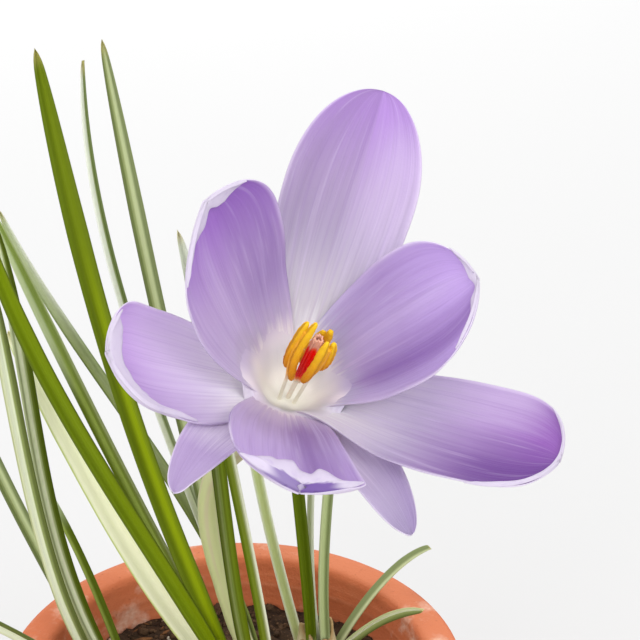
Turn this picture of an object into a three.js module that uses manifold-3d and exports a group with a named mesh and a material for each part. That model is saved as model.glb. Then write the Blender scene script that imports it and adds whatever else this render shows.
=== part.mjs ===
// Potted crocus: a large lilac garden crocus in full bloom with its grass-like leaves, in a plain
// terracotta pot filled with soil. Millimetres, +Z up, origin at the centre of the pot's underside.
import * as THREE from "three";
import { mergeVertices } from "three/addons/utils/BufferGeometryUtils.js";
import Module from "manifold-3d";

const wasm = await Module();
wasm.setup();

const V = (x, y, z) => new THREE.Vector3(x, y, z);
const rad = THREE.MathUtils.degToRad;
const smooth = (x, a, b) => THREE.MathUtils.smoothstep(x, a, b);
const mix = THREE.MathUtils.lerp;

// ---- sizes ---------------------------------------------------------------------------------------
const FIT = 0.3; // gap between pieces that touch

// pot
const POT_HEIGHT = 88;
const POT_BASE_R = 33;
const POT_SHOULDER_R = 42.5; // wall just under the rim band
const RIM_R = 48;
const RIM_HEIGHT = 17;
const POT_WALL = 4;
const POT_FLOOR = 5;
const POT_EDGE = 1.2; // eased edges
const DRAIN_R = 4.5;
const DRAIN_RING_R = 19;
const DRAIN_COUNT = 3;
const POT_SIDES = 48;

// soil
const SOIL_LEVEL = 78;
const SOIL_DOME = 1.6;
const SOIL_BUMP = 0.7;
const SOIL_RINGS = 7;
const SOIL_SIDES = 36;
const HOLE_DEPTH = 12;

// flower: the throat is where the tepals part, the axis leans over to the front and right
const THROAT = V(12, -22, 163);
const FLOWER_TILT = 33.3; // from upright
const FLOWER_HEADING = -66.4; // of the lean, from +X towards +Y
const TUBE_FOOT = V(8, -3, SOIL_LEVEL);
const TUBE_BEND = V(-18, -1.5, 151);
const TUBE_REACH = 40; // length of the last, straighter stretch behind the throat
const TUBE_R = 1.9;
const TUBE_SIDES = 12;
const TUBE_STEPS = 26;
const THROAT_FLOOR = -7; // along the axis from the throat
const THROAT_FLOOR_R = 2.6;
const THROAT_WALL = 1;

// tepals, outer and inner: all angles in degrees
const TEPAL_THICK = 0.85;
const TEPAL_EDGE_THICK = 0.62;
const TEPAL_ROWS = 12;
const TEPAL_COLUMNS = 8;
const TEPAL_BASE = {
  foot: 0.42, // width at the foot, as a share of the full width
  footRadius: 3.3,
  footDrop: -4,
  footCup: 65,
  footLean: 18,
  knee: 0.35, // share of the length over which the tepal leans out
};
// around: from the side facing +X; lean: from the axis; widest: share of the length;
// blunt: how square the tip is; cup: half angle of the hollow; curl: turned-in edge;
// roll, side: twist and sideways sweep; tip: extra lean at the tip
const TEPALS = [
  // outer: tall at the back, left, right, and two narrow extra ones in front
  { around: 78, lean: 54.5, length: 57.5, width: 24.5, widest: 0.67, blunt: 1.95,
    cup: 23, curl: 0, roll: -7.5, side: -1, tip: 0 },
  { around: 200, lean: 60, length: 44.5, width: 22, widest: 0.79, blunt: 2.75,
    cup: 18, curl: 60, roll: -7.5, side: -3.5, tip: -13 },
  { around: -32.5, lean: 65, length: 54, width: 24, widest: 0.73, blunt: 2.8,
    cup: 19, curl: 20, roll: -4, side: 6, tip: -5 },
  { around: 224.5, lean: 64.5, length: 43, width: 12, widest: 0.48, blunt: 1.35,
    cup: 35, curl: 0, roll: 9, side: 22, tip: 15 },
  { around: 301, lean: 66, length: 41.5, width: 12.5, widest: 0.46, blunt: 1.35,
    cup: 28, curl: 0, roll: 2, side: -6, tip: 22 },
  // inner: upper left, upper right and front
  { around: 158, lean: 27, length: 50, width: 28, widest: 0.74, blunt: 2.3,
    cup: 20, curl: 20, roll: -14, side: 6, tip: -6 },
  { around: 14, lean: 34.5, length: 45, width: 26.5, widest: 0.69, blunt: 2.3,
    cup: 26, curl: 30, roll: 8, side: -8, tip: -9 },
  { around: 254.5, lean: 54, length: 45.5, width: 24, widest: 0.85, blunt: 2.5,
    cup: 26, curl: 20, roll: -11, side: 20, tip: -9 },
];

// stamens and stigma, standing in the throat
const STAMEN_LEAN = 0.06; // of the whole group, sideways per mm of height
// both lobes of each anther, from foot to top: [height, distance from the middle, bearing]
const STAMENS = [
  [{ low: [8.3, 3.1, 180], high: [23.3, 3.3, 187] }, { low: [7, 2.6, 225], high: [24.3, 2.3, 207] }],
  [{ low: [7.2, 2.1, -84], high: [21.5, 2.8, -76] }, { low: [10.5, 2.6, -24], high: [20.5, 2.95, -45] }],
  [{ low: [6.5, 2.4, 88], high: [17.2, 2.65, 62] }, { low: [6.5, 3.1, 52], high: [18.7, 2.65, 38] }],
];
const ANTHER_LOBE_R = 0.75;
const ANTHER_BOW = 0.5; // outwards in the middle
const ANTHER_SIDES = 7;
const ANTHER_STEPS = 8;
const FILAMENT_R = 0.36;
const BOND_THICK = 0.5;
const FILAMENT_FOOT_R = 1.35;
const STIGMA_LOBES = 3;
const STIGMA_LOW = 4.5;
const STIGMA_HIGH = 18.5;
const STIGMA_WIDTH = 2.3;
const STIGMA_FOOT_WIDTH = 1.1;
const STIGMA_ROWS = 5;
const STIGMA_COLUMNS = 6;
const STIGMA_THICK = 0.6;
const STYLE_R = 0.48;
const STYLE_RINGS = 5;
const STYLE_SIDES = 8;

// leaves: channelled blades on cubic curves from the soil
const LEAF_THICK = 0.8;
const LEAF_STEPS = 12;
const LEAF_SINK = 5; // root length below the soil
const LEAF_FOOT = 2.2; // width at the soil
const SHEATH_SINK = 9;
const MAIN_SHEATH = { foot: V(8, -3, SOIL_LEVEL), towards: V(-26, 1.5, 73),
  inner: 2.9, outer: 5.7, top: 4.3, height: 12 };
const LEFT_SHEATH = { foot: V(-24, 4, SOIL_LEVEL), towards: V(-14, 0, 32),
  inner: 0, outer: 4.3, top: 3.2, height: 9 };
const BACK_SHEATH = { foot: V(17, 13.5, SOIL_LEVEL), towards: V(0, 2, 30),
  inner: 0, outer: 5.4, top: 4.1, height: 9 };
// root on the soil, two bends and the tip; face: direction the channel looks, from the front (-Y)
const MAIN_LEAVES = [
  { root: [4, -5], bends: [[-14, -4.5, 119], [-38.6, -6.5, 157]],
    tip: [-45, -6, 195.5], width: 3.4, face: 20 },
  { root: [4, -2], bends: [[-15, 3.5, 111.5], [-31, 8.5, 151]], tip: [-46, 14, 185], width: 3, face: -15 },
  { root: [5.5, 1], bends: [[5, 7, 112.5], [-33.2, 13.5, 151.5]],
    tip: [-45.2, 20, 181.5], width: 2.4, face: 10 },
  { root: [3.5, -3.5], bends: [[-17, -3, 133.5], [-24.5, -4.5, 168]],
    tip: [-32, -4, 221], width: 3.9, face: 15 },
  { root: [6.5, 1.3], bends: [[-6.5, 7.5, 124.5], [-29, 17.5, 168]],
    tip: [-27.6, 24, 210.5], width: 2.1, face: -20 },
  { root: [7, 1.5], bends: [[-8, 7, 122], [-15.5, 8.5, 176.5]],
    tip: [-22.5, 14, 217.5], width: 3, face: 0 },
  { root: [7, -7], bends: [[-2.5, -9, 110], [-0.5, -11, 161]],
    tip: [-7.5, -13, 190.5], width: 2.8, face: 10 },
  { root: [9, -7.5], bends: [[7, -11, 111], [-0.5, -13.5, 147]],
    tip: [-3, -17, 177], width: 2.2, face: -10 },
];
const PALE_LEAF = { root: [4, -1], bends: [[-22, 4, 106], [-30, 8, 135]],
  tip: [-44, 13, 158.5], width: 5, face: 5 };
const LEFT_LEAVES = [
  { root: [-25, 3], bends: [[-40.5, 1.5, 101], [-40.5, -0.5, 149.5]],
    tip: [-44, -2, 178], width: 3.1, face: -5 },
  { root: [-23.5, 5], bends: [[-42, 4.5, 113.5], [-36.5, 3.5, 153]],
    tip: [-43.5, 3, 187], width: 3, face: 10 },
  { root: [-25.5, 5], bends: [[-40, 11, 105], [-55, 19, 135]],
    tip: [-62, 25, 158], width: 3, face: 25 },
  { root: [-25, 2], bends: [[-36, -7, 96], [-50, -15, 114]],
    tip: [-64, -22, 121], width: 3.2, face: -30 },
  { root: [-22.5, 6], bends: [[-30, 14, 98], [-38, 24, 112]],
    tip: [-48, 33, 120], width: 2.6, face: 150 },
];
const BACK_LEAVES = [
  { root: [14.5, 15.5], bends: [[5.5, 21, 110], [1, 26.5, 135.5]],
    tip: [-1.5, 32, 165], width: 2.4, face: -10 },
  { root: [16, 11], bends: [[15.5, 12.5, 110], [8.5, 12.5, 148.5]],
    tip: [12.5, 14, 179.5], width: 2.6, face: 15 },
  { root: [17.5, 15.5], bends: [[12, 18.5, 114.5], [20, 23, 155]],
    tip: [18, 26, 187], width: 2, face: 70 },
  { root: [19.5, 12], bends: [[15.5, 14, 113.5], [24, 17, 146]],
    tip: [23.5, 18, 180.5], width: 2.2, face: 0 },
  { root: [19.5, 14.5], bends: [[26, 18, 90], [34, 24, 98]],
    tip: [42, 31, 97], width: 2.6, face: 200 },
  { root: [18, 12], bends: [[24, 9, 88], [31, 6, 98]],
    tip: [39, 2, 100], width: 2.4, face: 20 },
];

// ---- solids ----------------------------------------------------------------------------------------
function indexed(positions, triangles) {
  const geometry = new THREE.BufferGeometry();
  geometry.setAttribute("position", new THREE.Float32BufferAttribute(positions, 3));
  geometry.setIndex(triangles);
  return geometry;
}

function toSolid(geometry) {
  const bare = geometry.clone();
  bare.deleteAttribute("normal");
  bare.deleteAttribute("uv");
  const merged = mergeVertices(bare, 1e-4);
  const mesh = new wasm.Mesh({
    numProp: 3,
    vertProperties: merged.attributes.position.array,
    triVerts: new Uint32Array(merged.index.array),
  });
  return new wasm.Manifold(mesh);
}

function toGeometry(solid) {
  const mesh = solid.getMesh();
  return indexed(Array.from(mesh.vertProperties), Array.from(mesh.triVerts));
}

// The largest closed piece: joining leaves neither a sealed hollow nor a loose scrap.
function mainBody(solid) {
  const pieces = solid.decompose();
  return pieces.reduce((best, piece) => (piece.volume() > best.volume() ? piece : best));
}

function join(solids) {
  return solids.reduce((sum, solid) => sum.add(solid));
}

// Closed skin through rings of equal length, with a flat fan over each end.
function loft(rings) {
  const sides = rings[0].length;
  const points = rings.flat();
  const triangles = [];
  for (let i = 0; i + 1 < rings.length; i += 1) {
    for (let j = 0; j < sides; j += 1) {
      const a = i * sides + j;
      const b = i * sides + ((j + 1) % sides);
      triangles.push(a, b, b + sides, a, b + sides, a + sides);
    }
  }
  const first = points.length;
  points.push(centreOf(rings[0]), centreOf(rings[rings.length - 1]));
  const last = (rings.length - 1) * sides;
  for (let j = 0; j < sides; j += 1) {
    const next = (j + 1) % sides;
    triangles.push(first, next, j);
    triangles.push(first + 1, last + j, last + next);
  }
  return indexed(points.flatMap((p) => [p.x, p.y, p.z]), triangles);
}

function centreOf(points) {
  const sum = V(0, 0, 0);
  points.forEach((p) => sum.add(p));
  return sum.divideScalar(points.length);
}

// Closed sheet between an upper and a lower grid of points, both split the same way.
function sheet(upper, lower) {
  const rows = upper.length;
  const columns = upper[0].length;
  const points = [...upper.flat(), ...lower.flat()];
  const below = rows * columns;
  const at = (i, j) => i * columns + j;
  const triangles = [];
  for (let i = 0; i + 1 < rows; i += 1) {
    for (let j = 0; j + 1 < columns; j += 1) {
      const [a, b, c, d] = [at(i, j), at(i + 1, j), at(i + 1, j + 1), at(i, j + 1)];
      triangles.push(a, b, c, a, c, d);
      triangles.push(below + a, below + c, below + b, below + a, below + d, below + c);
    }
  }
  const rim = rimOf(rows, columns, at);
  for (let k = 0; k < rim.length; k += 1) {
    const p = rim[k];
    const q = rim[(k + 1) % rim.length];
    triangles.push(p, below + q, q, p, below + p, below + q);
  }
  return indexed(points.flatMap((p) => [p.x, p.y, p.z]), triangles);
}

function rimOf(rows, columns, at) {
  const rim = [];
  for (let i = 0; i < rows - 1; i += 1) rim.push(at(i, 0));
  for (let j = 0; j < columns - 1; j += 1) rim.push(at(rows - 1, j));
  for (let i = rows - 1; i > 0; i -= 1) rim.push(at(i, columns - 1));
  for (let j = columns - 1; j > 0; j -= 1) rim.push(at(0, j));
  return rim;
}

function named(name, solid, colour, roughness) {
  const material = new THREE.MeshStandardMaterial({ color: colour, roughness, metalness: 0 });
  const mesh = new THREE.Mesh(toGeometry(solid), material);
  mesh.name = name;
  return mesh;
}

// ---- pot and soil -----------------------------------------------------------------------------------
const upright = (geometry) => geometry.rotateX(Math.PI / 2);

function turned(profile, sides) {
  return upright(new THREE.LatheGeometry(profile.map(([r, z]) => new THREE.Vector2(r, z)), sides));
}

const RIM_BOTTOM = POT_HEIGHT - RIM_HEIGHT;
const innerRadius = (z) => {
  const share = (z - POT_FLOOR) / (POT_HEIGHT - POT_FLOOR);
  return mix(POT_BASE_R, POT_SHOULDER_R + 1, share) - POT_WALL + 1;
};

function potSolid() {
  const body = turned(
    [
      [0, 0],
      [POT_BASE_R - POT_EDGE, 0],
      [POT_BASE_R, POT_EDGE],
      [POT_SHOULDER_R, RIM_BOTTOM],
      [RIM_R - POT_EDGE, RIM_BOTTOM],
      [RIM_R - 0.4, RIM_BOTTOM + POT_EDGE],
      [RIM_R, POT_HEIGHT - POT_EDGE],
      [RIM_R - POT_EDGE, POT_HEIGHT],
      [innerRadius(POT_HEIGHT) + POT_EDGE, POT_HEIGHT],
      [innerRadius(POT_HEIGHT - POT_EDGE), POT_HEIGHT - POT_EDGE],
      [innerRadius(POT_FLOOR + 3), POT_FLOOR + 3],
      [innerRadius(POT_FLOOR) - 3, POT_FLOOR],
      [0, POT_FLOOR],
    ],
    POT_SIDES,
  );
  const drains = [];
  for (let k = 0; k < DRAIN_COUNT; k += 1) {
    const angle = (2 * Math.PI * (k + 0.25)) / DRAIN_COUNT;
    const drain = upright(new THREE.CylinderGeometry(DRAIN_R, DRAIN_R, 3 * POT_FLOOR, 16));
    drains.push(drain.translate(DRAIN_RING_R * Math.cos(angle), DRAIN_RING_R * Math.sin(angle), 0));
  }
  return drains.reduce((pot, drain) => pot.subtract(toSolid(drain)), toSolid(body));
}

const SOIL_EDGE = SOIL_LEVEL - SOIL_DOME - SOIL_BUMP;
const soilHeight = (x, y) => {
  const reach = Math.hypot(x, y) / innerRadius(SOIL_EDGE);
  const lumps = Math.sin(0.55 * x + 1.3) * Math.cos(0.6 * y - 0.4) + Math.sin(0.9 * y - 0.35 * x);
  return SOIL_LEVEL - SOIL_DOME * reach * reach + SOIL_BUMP * 0.5 * lumps;
};

// Crumbly top raised by a formula, then the straight-tapered sides and the floor.
function soilBlock() {
  const rings = [];
  for (let i = 1; i <= SOIL_RINGS; i += 1) {
    const radius = (innerRadius(SOIL_EDGE) - FIT) * (i / SOIL_RINGS);
    rings.push({ radius, lift: soilHeight });
  }
  const floor = POT_FLOOR + FIT;
  rings.push({ radius: innerRadius(POT_FLOOR + 3) - 2 * FIT, lift: () => POT_FLOOR + 3 });
  rings.push({ radius: innerRadius(POT_FLOOR) - 3 - FIT, lift: () => floor });
  const positions = [0, 0, soilHeight(0, 0)];
  const triangles = [];
  rings.forEach(({ radius, lift }, i) => {
    for (let j = 0; j < SOIL_SIDES; j += 1) {
      const angle = (2 * Math.PI * j) / SOIL_SIDES;
      const x = radius * Math.cos(angle);
      const y = radius * Math.sin(angle);
      positions.push(x, y, lift(x, y));
      const here = 1 + i * SOIL_SIDES + j;
      const next = 1 + i * SOIL_SIDES + ((j + 1) % SOIL_SIDES);
      if (i === 0) triangles.push(0, here, next);
      else triangles.push(here - SOIL_SIDES, here, next, here - SOIL_SIDES, next, next - SOIL_SIDES);
    }
  });
  const centre = positions.length / 3;
  positions.push(0, 0, floor);
  const start = centre - SOIL_SIDES;
  for (let j = 0; j < SOIL_SIDES; j += 1) {
    triangles.push(centre, start + ((j + 1) % SOIL_SIDES), start + j);
  }
  return toSolid(indexed(positions, triangles));
}

// A straight round bore along a sheath's own line.
function bore({ foot, towards, outer }) {
  const reach = HOLE_DEPTH + 12;
  const cylinder = new THREE.CylinderGeometry(outer + FIT, outer + FIT, reach, 24);
  const along = towards.clone().normalize();
  cylinder.applyQuaternion(new THREE.Quaternion().setFromUnitVectors(V(0, 1, 0), along));
  const middle = foot.clone().addScaledVector(along, 12 - reach / 2);
  cylinder.translate(middle.x, middle.y, middle.z);
  return toSolid(cylinder);
}

// ---- flower -----------------------------------------------------------------------------------------
const AXIS = V(
  Math.sin(rad(FLOWER_TILT)) * Math.cos(rad(FLOWER_HEADING)),
  Math.sin(rad(FLOWER_TILT)) * Math.sin(rad(FLOWER_HEADING)),
  Math.cos(rad(FLOWER_TILT)),
);
const SIDE = V(1, 0, 0).addScaledVector(AXIS, -AXIS.x).normalize(); // square to the axis, facing +X
const RISE = AXIS.clone().cross(SIDE); // square to both, facing back and up

const around = (degrees) =>
  SIDE.clone().multiplyScalar(Math.cos(rad(degrees))).addScaledVector(RISE, Math.sin(rad(degrees)));

const tubeCurve = new THREE.CubicBezierCurve3(
  TUBE_FOOT,
  TUBE_BEND,
  THROAT.clone().addScaledVector(AXIS, -TUBE_REACH),
  THROAT,
);

// Point on the flower's axis system: height along the axis, distance and bearing from it.
const inThroat = (height, radius, degrees) =>
  THROAT.clone().addScaledVector(AXIS, height).addScaledVector(around(degrees), radius);

function tepalMidrib(spec, rows) {
  const out = around(spec.around);
  const across = AXIS.clone().cross(out);
  const point = THROAT.clone()
    .addScaledVector(AXIS, TEPAL_BASE.footDrop)
    .addScaledVector(out, TEPAL_BASE.footRadius);
  const fine = 12;
  const stations = [];
  let s = 0;
  for (let i = 0; i < rows; i += 1) {
    const target = 1 - (1 - i / (rows - 1)) ** 1.4;
    const step = (target - s) / fine;
    for (let k = 0; k < fine; k += 1) {
      point.addScaledVector(directionAt(spec, s + step / 2, out, across).along, step * spec.length);
      s += step;
    }
    const frame = directionAt(spec, s, out, across);
    stations.push({ s, point: point.clone(), ...frame });
  }
  return stations;
}

function directionAt(spec, s, out, across) {
  const { footLean, knee } = TEPAL_BASE;
  const lean = rad(mix(footLean, spec.lean, smooth(s, 0, knee)) + spec.tip * smooth(s, 0.6, 1));
  const sweep = rad(spec.side * s);
  const radial = out.clone().multiplyScalar(Math.cos(sweep)).addScaledVector(across, Math.sin(sweep));
  const along = AXIS.clone().multiplyScalar(Math.cos(lean)).addScaledVector(radial, Math.sin(lean));
  const flat = out.clone().multiplyScalar(-Math.sin(sweep)).addScaledVector(across, Math.cos(sweep));
  const inward = along.clone().cross(flat);
  const turn = rad(spec.roll) * smooth(s, 0.05, 0.8);
  const lateral = flat.clone().multiplyScalar(Math.cos(turn)).addScaledVector(inward, Math.sin(turn));
  const normal = inward.multiplyScalar(Math.cos(turn)).addScaledVector(flat, -Math.sin(turn));
  return { along, lateral, normal };
}

function halfWidthAt(spec, s) {
  const { foot } = TEPAL_BASE;
  const full = spec.width / 2;
  if (s < spec.widest) return full * mix(foot, 1, Math.sin(((s / spec.widest) * Math.PI) / 2) ** 1.3);
  const past = (s - spec.widest) / (1 - spec.widest);
  return full * Math.sqrt(Math.max(1 - past ** spec.blunt, 0.004));
}

// Section of a tepal at one station: hollow towards the axis, with turned-in edges further out.
function tepalRow(spec, station, columns) {
  const { s, point, lateral, normal } = station;
  const half = halfWidthAt(spec, s);
  const cup = mix(TEPAL_BASE.footCup, spec.cup, smooth(s, 0, 0.5));
  const curl = spec.curl * smooth(s, 0.45, 0.8);
  const slope = (t) => rad(cup * t + Math.sign(t) * curl * smooth(Math.abs(t), 0.7, 1));
  const row = [];
  for (let j = 0; j < columns; j += 1) {
    const t = (2 * j) / (columns - 1) - 1;
    const fine = 10;
    let across = 0;
    let up = 0;
    for (let k = 0; k < fine; k += 1) {
      const angle = slope((t * (k + 0.5)) / fine);
      across += (Math.cos(angle) * t * half) / fine;
      up += (Math.sin(angle) * t * half) / fine;
    }
    row.push(point.clone().addScaledVector(lateral, across).addScaledVector(normal, up));
  }
  return row;
}

function tepalSolid(spec) {
  const stations = tepalMidrib(spec, TEPAL_ROWS);
  const grid = stations.map((station) => tepalRow(spec, station, TEPAL_COLUMNS));
  const normals = gridNormals(grid);
  const thickness = (j) => {
    const t = Math.abs((2 * j) / (TEPAL_COLUMNS - 1) - 1);
    return mix(TEPAL_THICK, TEPAL_EDGE_THICK, t * t) / 2;
  };
  const shifted = (sign) =>
    grid.map((row, i) =>
      row.map((p, j) => p.clone().addScaledVector(normals[i][j], sign * thickness(j))));
  return toSolid(sheet(shifted(1), shifted(-1)));
}

function gridNormals(grid) {
  const rows = grid.length;
  const columns = grid[0].length;
  return grid.map((row, i) =>
    row.map((p, j) => {
      const down = grid[Math.min(i + 1, rows - 1)][j].clone().sub(grid[Math.max(i - 1, 0)][j]);
      const side = grid[i][Math.min(j + 1, columns - 1)].clone().sub(grid[i][Math.max(j - 1, 0)]);
      return down.cross(side).normalize();
    }));
}

// Solid neck below, open cup above, turned about the flower's axis.
function throatCup() {
  const profile = [
    [0, THROAT_FLOOR - 6],
    [TUBE_R, THROAT_FLOOR - 6],
    [THROAT_FLOOR_R + 0.6, THROAT_FLOOR - 1],
    [THROAT_FLOOR_R + THROAT_WALL + 0.4, THROAT_FLOOR + 2],
    [5.6, 0],
    [6.6, 2],
    [5.9, 2.2],
    [4.4, 0],
    [THROAT_FLOOR_R + 0.3, THROAT_FLOOR + 2.5],
    [THROAT_FLOOR_R, THROAT_FLOOR + 0.4],
    [0, THROAT_FLOOR],
  ];
  const cup = turned(profile, 28);
  cup.applyMatrix4(new THREE.Matrix4().makeBasis(SIDE, RISE, AXIS));
  cup.translate(THROAT.x, THROAT.y, THROAT.z);
  return toSolid(cup);
}

function roundSection(radius, sides) {
  const points = [];
  for (let k = 0; k < sides; k += 1) {
    const angle = (2 * Math.PI * k) / sides;
    points.push(new THREE.Vector2(radius * Math.cos(angle), radius * Math.sin(angle)));
  }
  return new THREE.Shape(points);
}

// The long pale tube that carries the flower, from inside the soil to the solid neck.
function flowerTube() {
  const whole = tubeCurve.getSpacedPoints(60);
  const stop = THROAT.clone().addScaledVector(AXIS, THROAT_FLOOR - 3);
  const below = tubeCurve.getTangentAt(0).multiplyScalar(-SHEATH_SINK).add(TUBE_FOOT);
  const kept = whole.filter((p) => p.distanceTo(THROAT) > stop.distanceTo(THROAT));
  const path = new THREE.CatmullRomCurve3([below, ...kept]);
  return toSolid(
    new THREE.ExtrudeGeometry(roundSection(TUBE_R, TUBE_SIDES), {
      steps: TUBE_STEPS,
      bevelEnabled: false,
      extrudePath: path,
    }),
  );
}

function bloomSolid() {
  return mainBody(join([throatCup(), flowerTube(), ...TEPALS.map(tepalSolid)]));
}

// ---- stamens and stigma -----------------------------------------------------------------------------
const GROUP = AXIS.clone().addScaledVector(SIDE, STAMEN_LEAN).normalize();
const inGroup = (height, radius, degrees) =>
  inThroat(THROAT_FLOOR, 0, 0)
    .addScaledVector(GROUP, height - THROAT_FLOOR)
    .addScaledVector(around(degrees), radius);

function ringAt(centre, axis, radius, sides) {
  const u = SIDE.clone().addScaledVector(axis, -SIDE.dot(axis)).normalize();
  const v = axis.clone().cross(u);
  const ring = [];
  for (let k = 0; k < sides; k += 1) {
    const angle = (2 * Math.PI * k) / sides;
    ring.push(centre.clone().addScaledVector(u, radius * Math.cos(angle))
      .addScaledVector(v, radius * Math.sin(angle)));
  }
  return ring;
}

const lobeCentre = ({ low, high }, u) =>
  inGroup(...low).lerp(inGroup(...high), u)
    .addScaledVector(around((low[2] + high[2]) / 2), ANTHER_BOW * Math.sin(Math.PI * u));

// One pollen sac: a slim rounded sausage, bowed outwards.
function antherLobe(lobe) {
  const rings = [];
  for (let i = 0; i < ANTHER_STEPS; i += 1) {
    const u = i / (ANTHER_STEPS - 1);
    const girth = ANTHER_LOBE_R * Math.max(Math.sin(Math.PI * mix(0.06, 0.94, u)) ** 0.5, 0.3);
    rings.push(ringAt(lobeCentre(lobe, u), GROUP, girth, ANTHER_SIDES));
  }
  return toSolid(loft(rings));
}

// The stalk rises from the throat's floor and runs on between the two lobes as their bond.
function filament([first, second]) {
  const between = (u) => lobeCentre(first, u).lerp(lobeCentre(second, u), 0.5);
  const bearing = (first.low[2] + second.low[2]) / 2;
  const foot = inGroup(THROAT_FLOOR + FIT + 0.3, FILAMENT_FOOT_R, bearing);
  const path = [foot, foot.clone().lerp(between(0), 0.5), between(0), between(0.45), between(0.85)];
  return toSolid(loft(path.map((place) => ringAt(place, GROUP, FILAMENT_R, 6))));
}

// The web that holds the two lobes side by side.
function bond([first, second]) {
  const rings = [0.2, 0.5, 0.8].map((u) => {
    const a = lobeCentre(first, u);
    const b = lobeCentre(second, u);
    const aside = b.clone().sub(a).cross(GROUP).setLength(BOND_THICK / 2);
    const beside = (centre, side) => centre.clone().addScaledVector(aside, side);
    return [beside(a, 1), beside(b, 1), beside(b, -1), beside(a, -1)];
  });
  return toSolid(loft(rings));
}

const stamenSolid = (lobes) =>
  mainBody(join([filament(lobes), bond(lobes), ...lobes.map(antherLobe)]));

// One stigma branch: a blade rolled round the middle that widens to a frilled lip.
function stigmaLobe(index) {
  const bearing = 20 + (360 / STIGMA_LOBES) * index;
  const out = around(bearing);
  const across = AXIS.clone().cross(out);
  const grid = [];
  for (let i = 0; i < STIGMA_ROWS; i += 1) {
    const u = i / (STIGMA_ROWS - 1);
    const half = mix(STIGMA_FOOT_WIDTH, STIGMA_WIDTH, smooth(u, 0, 1)) / 2;
    const radius = mix(0.3, 0.6, u);
    const row = [];
    for (let j = 0; j < STIGMA_COLUMNS; j += 1) {
      const t = (2 * j) / (STIGMA_COLUMNS - 1) - 1;
      const lip = 0.2 * Math.cos(3 * Math.PI * t) * smooth(u, 0.6, 1);
      const height = mix(STIGMA_LOW, STIGMA_HIGH, u) + lip - 0.5 * t * t * u;
      row.push(inGroup(height, radius - 0.35 * t * t * half, bearing)
        .addScaledVector(across, t * half * 0.85));
    }
    grid.push(row);
  }
  const normals = gridNormals(grid);
  const face = (sign) =>
    grid.map((row, i) =>
      row.map((p, j) => p.clone().addScaledVector(normals[i][j], (sign * STIGMA_THICK) / 2)));
  return toSolid(sheet(face(1), face(-1)));
}

function stigmaSolid() {
  const rings = [];
  for (let i = 0; i < STYLE_RINGS; i += 1) {
    const height = mix(THROAT_FLOOR + FIT + 0.1, STIGMA_LOW + 2.5, i / (STYLE_RINGS - 1));
    rings.push(ringAt(inGroup(height, 0, 0), GROUP, STYLE_R, STYLE_SIDES));
  }
  const lobes = [];
  for (let k = 0; k < STIGMA_LOBES; k += 1) lobes.push(stigmaLobe(k));
  return mainBody(join([toSolid(loft(rings)), ...lobes]));
}

// ---- leaves -----------------------------------------------------------------------------------------
const leafTaper = (s, foot) =>
  Math.min(mix(foot, 1, smooth(s, 0, 0.25)), 1.02 * Math.sqrt(1 - s ** 5) + 0.12);

function leafCurve({ root, bends, tip }) {
  const start = V(root[0], root[1], SOIL_LEVEL);
  return new THREE.CubicBezierCurve3(start, V(...bends[0]), V(...bends[1]), V(...tip));
}

// Section of a leaf: a shallow channel with thick edges and a keel below.
function leafSection(centre, lateral, normal, width) {
  const half = width / 2;
  const t = LEAF_THICK;
  const outline = [
    [-half, 0.1 * width],
    [0, -0.85 * t],
    [half, 0.1 * width],
    [0.34 * width, 0.55 * t + 0.1 * width],
    [0, 0.1 * t],
    [-0.34 * width, 0.55 * t + 0.1 * width],
  ];
  return outline.map(([x, y]) =>
    centre.clone().addScaledVector(lateral, x).addScaledVector(normal, y));
}

// Blade along its curve, its root sunk in the soil along the sheath.
function leafSolid(spec, sheath) {
  const curve = leafCurve(spec);
  const down = sheath.towards.clone().normalize().multiplyScalar(-LEAF_SINK);
  const facing = V(Math.sin(rad(spec.face)), -Math.cos(rad(spec.face)), 0.25);
  const rings = [];
  for (let i = -1; i < LEAF_STEPS; i += 1) {
    const s = Math.max(i, 0) / (LEAF_STEPS - 1);
    const along = curve.getTangentAt(s);
    const centre = curve.getPointAt(s);
    if (i < 0) centre.add(down);
    const lateral = facing.clone().cross(along).normalize();
    const normal = along.clone().cross(lateral);
    rings.push(leafSection(centre, lateral, normal, spec.width * leafTaper(s, LEAF_FOOT / spec.width)));
  }
  return toSolid(loft(rings));
}

// Pale sheath round the foot of a shoot, tilted the way the shoot leans.
function sheathSolid({ foot, towards, inner, outer, top, height }) {
  const low = inner ? [inner, -SHEATH_SINK] : [0, -SHEATH_SINK];
  const high = inner ? [inner, height] : [0, height - 1];
  const profile = [
    low,
    [outer, -SHEATH_SINK],
    [outer, height * 0.2],
    [top, height],
    high,
    ...(inner ? [low] : []),
  ];
  const ring = turned(profile, 20);
  const along = towards.clone().normalize();
  ring.applyQuaternion(new THREE.Quaternion().setFromUnitVectors(V(0, 0, 1), along));
  ring.translate(foot.x, foot.y, foot.z);
  return toSolid(ring);
}

const shootSolid = (sheath, leaves) =>
  mainBody(join([sheathSolid(sheath), ...leaves.map((leaf) => leafSolid(leaf, sheath))]));

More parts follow.
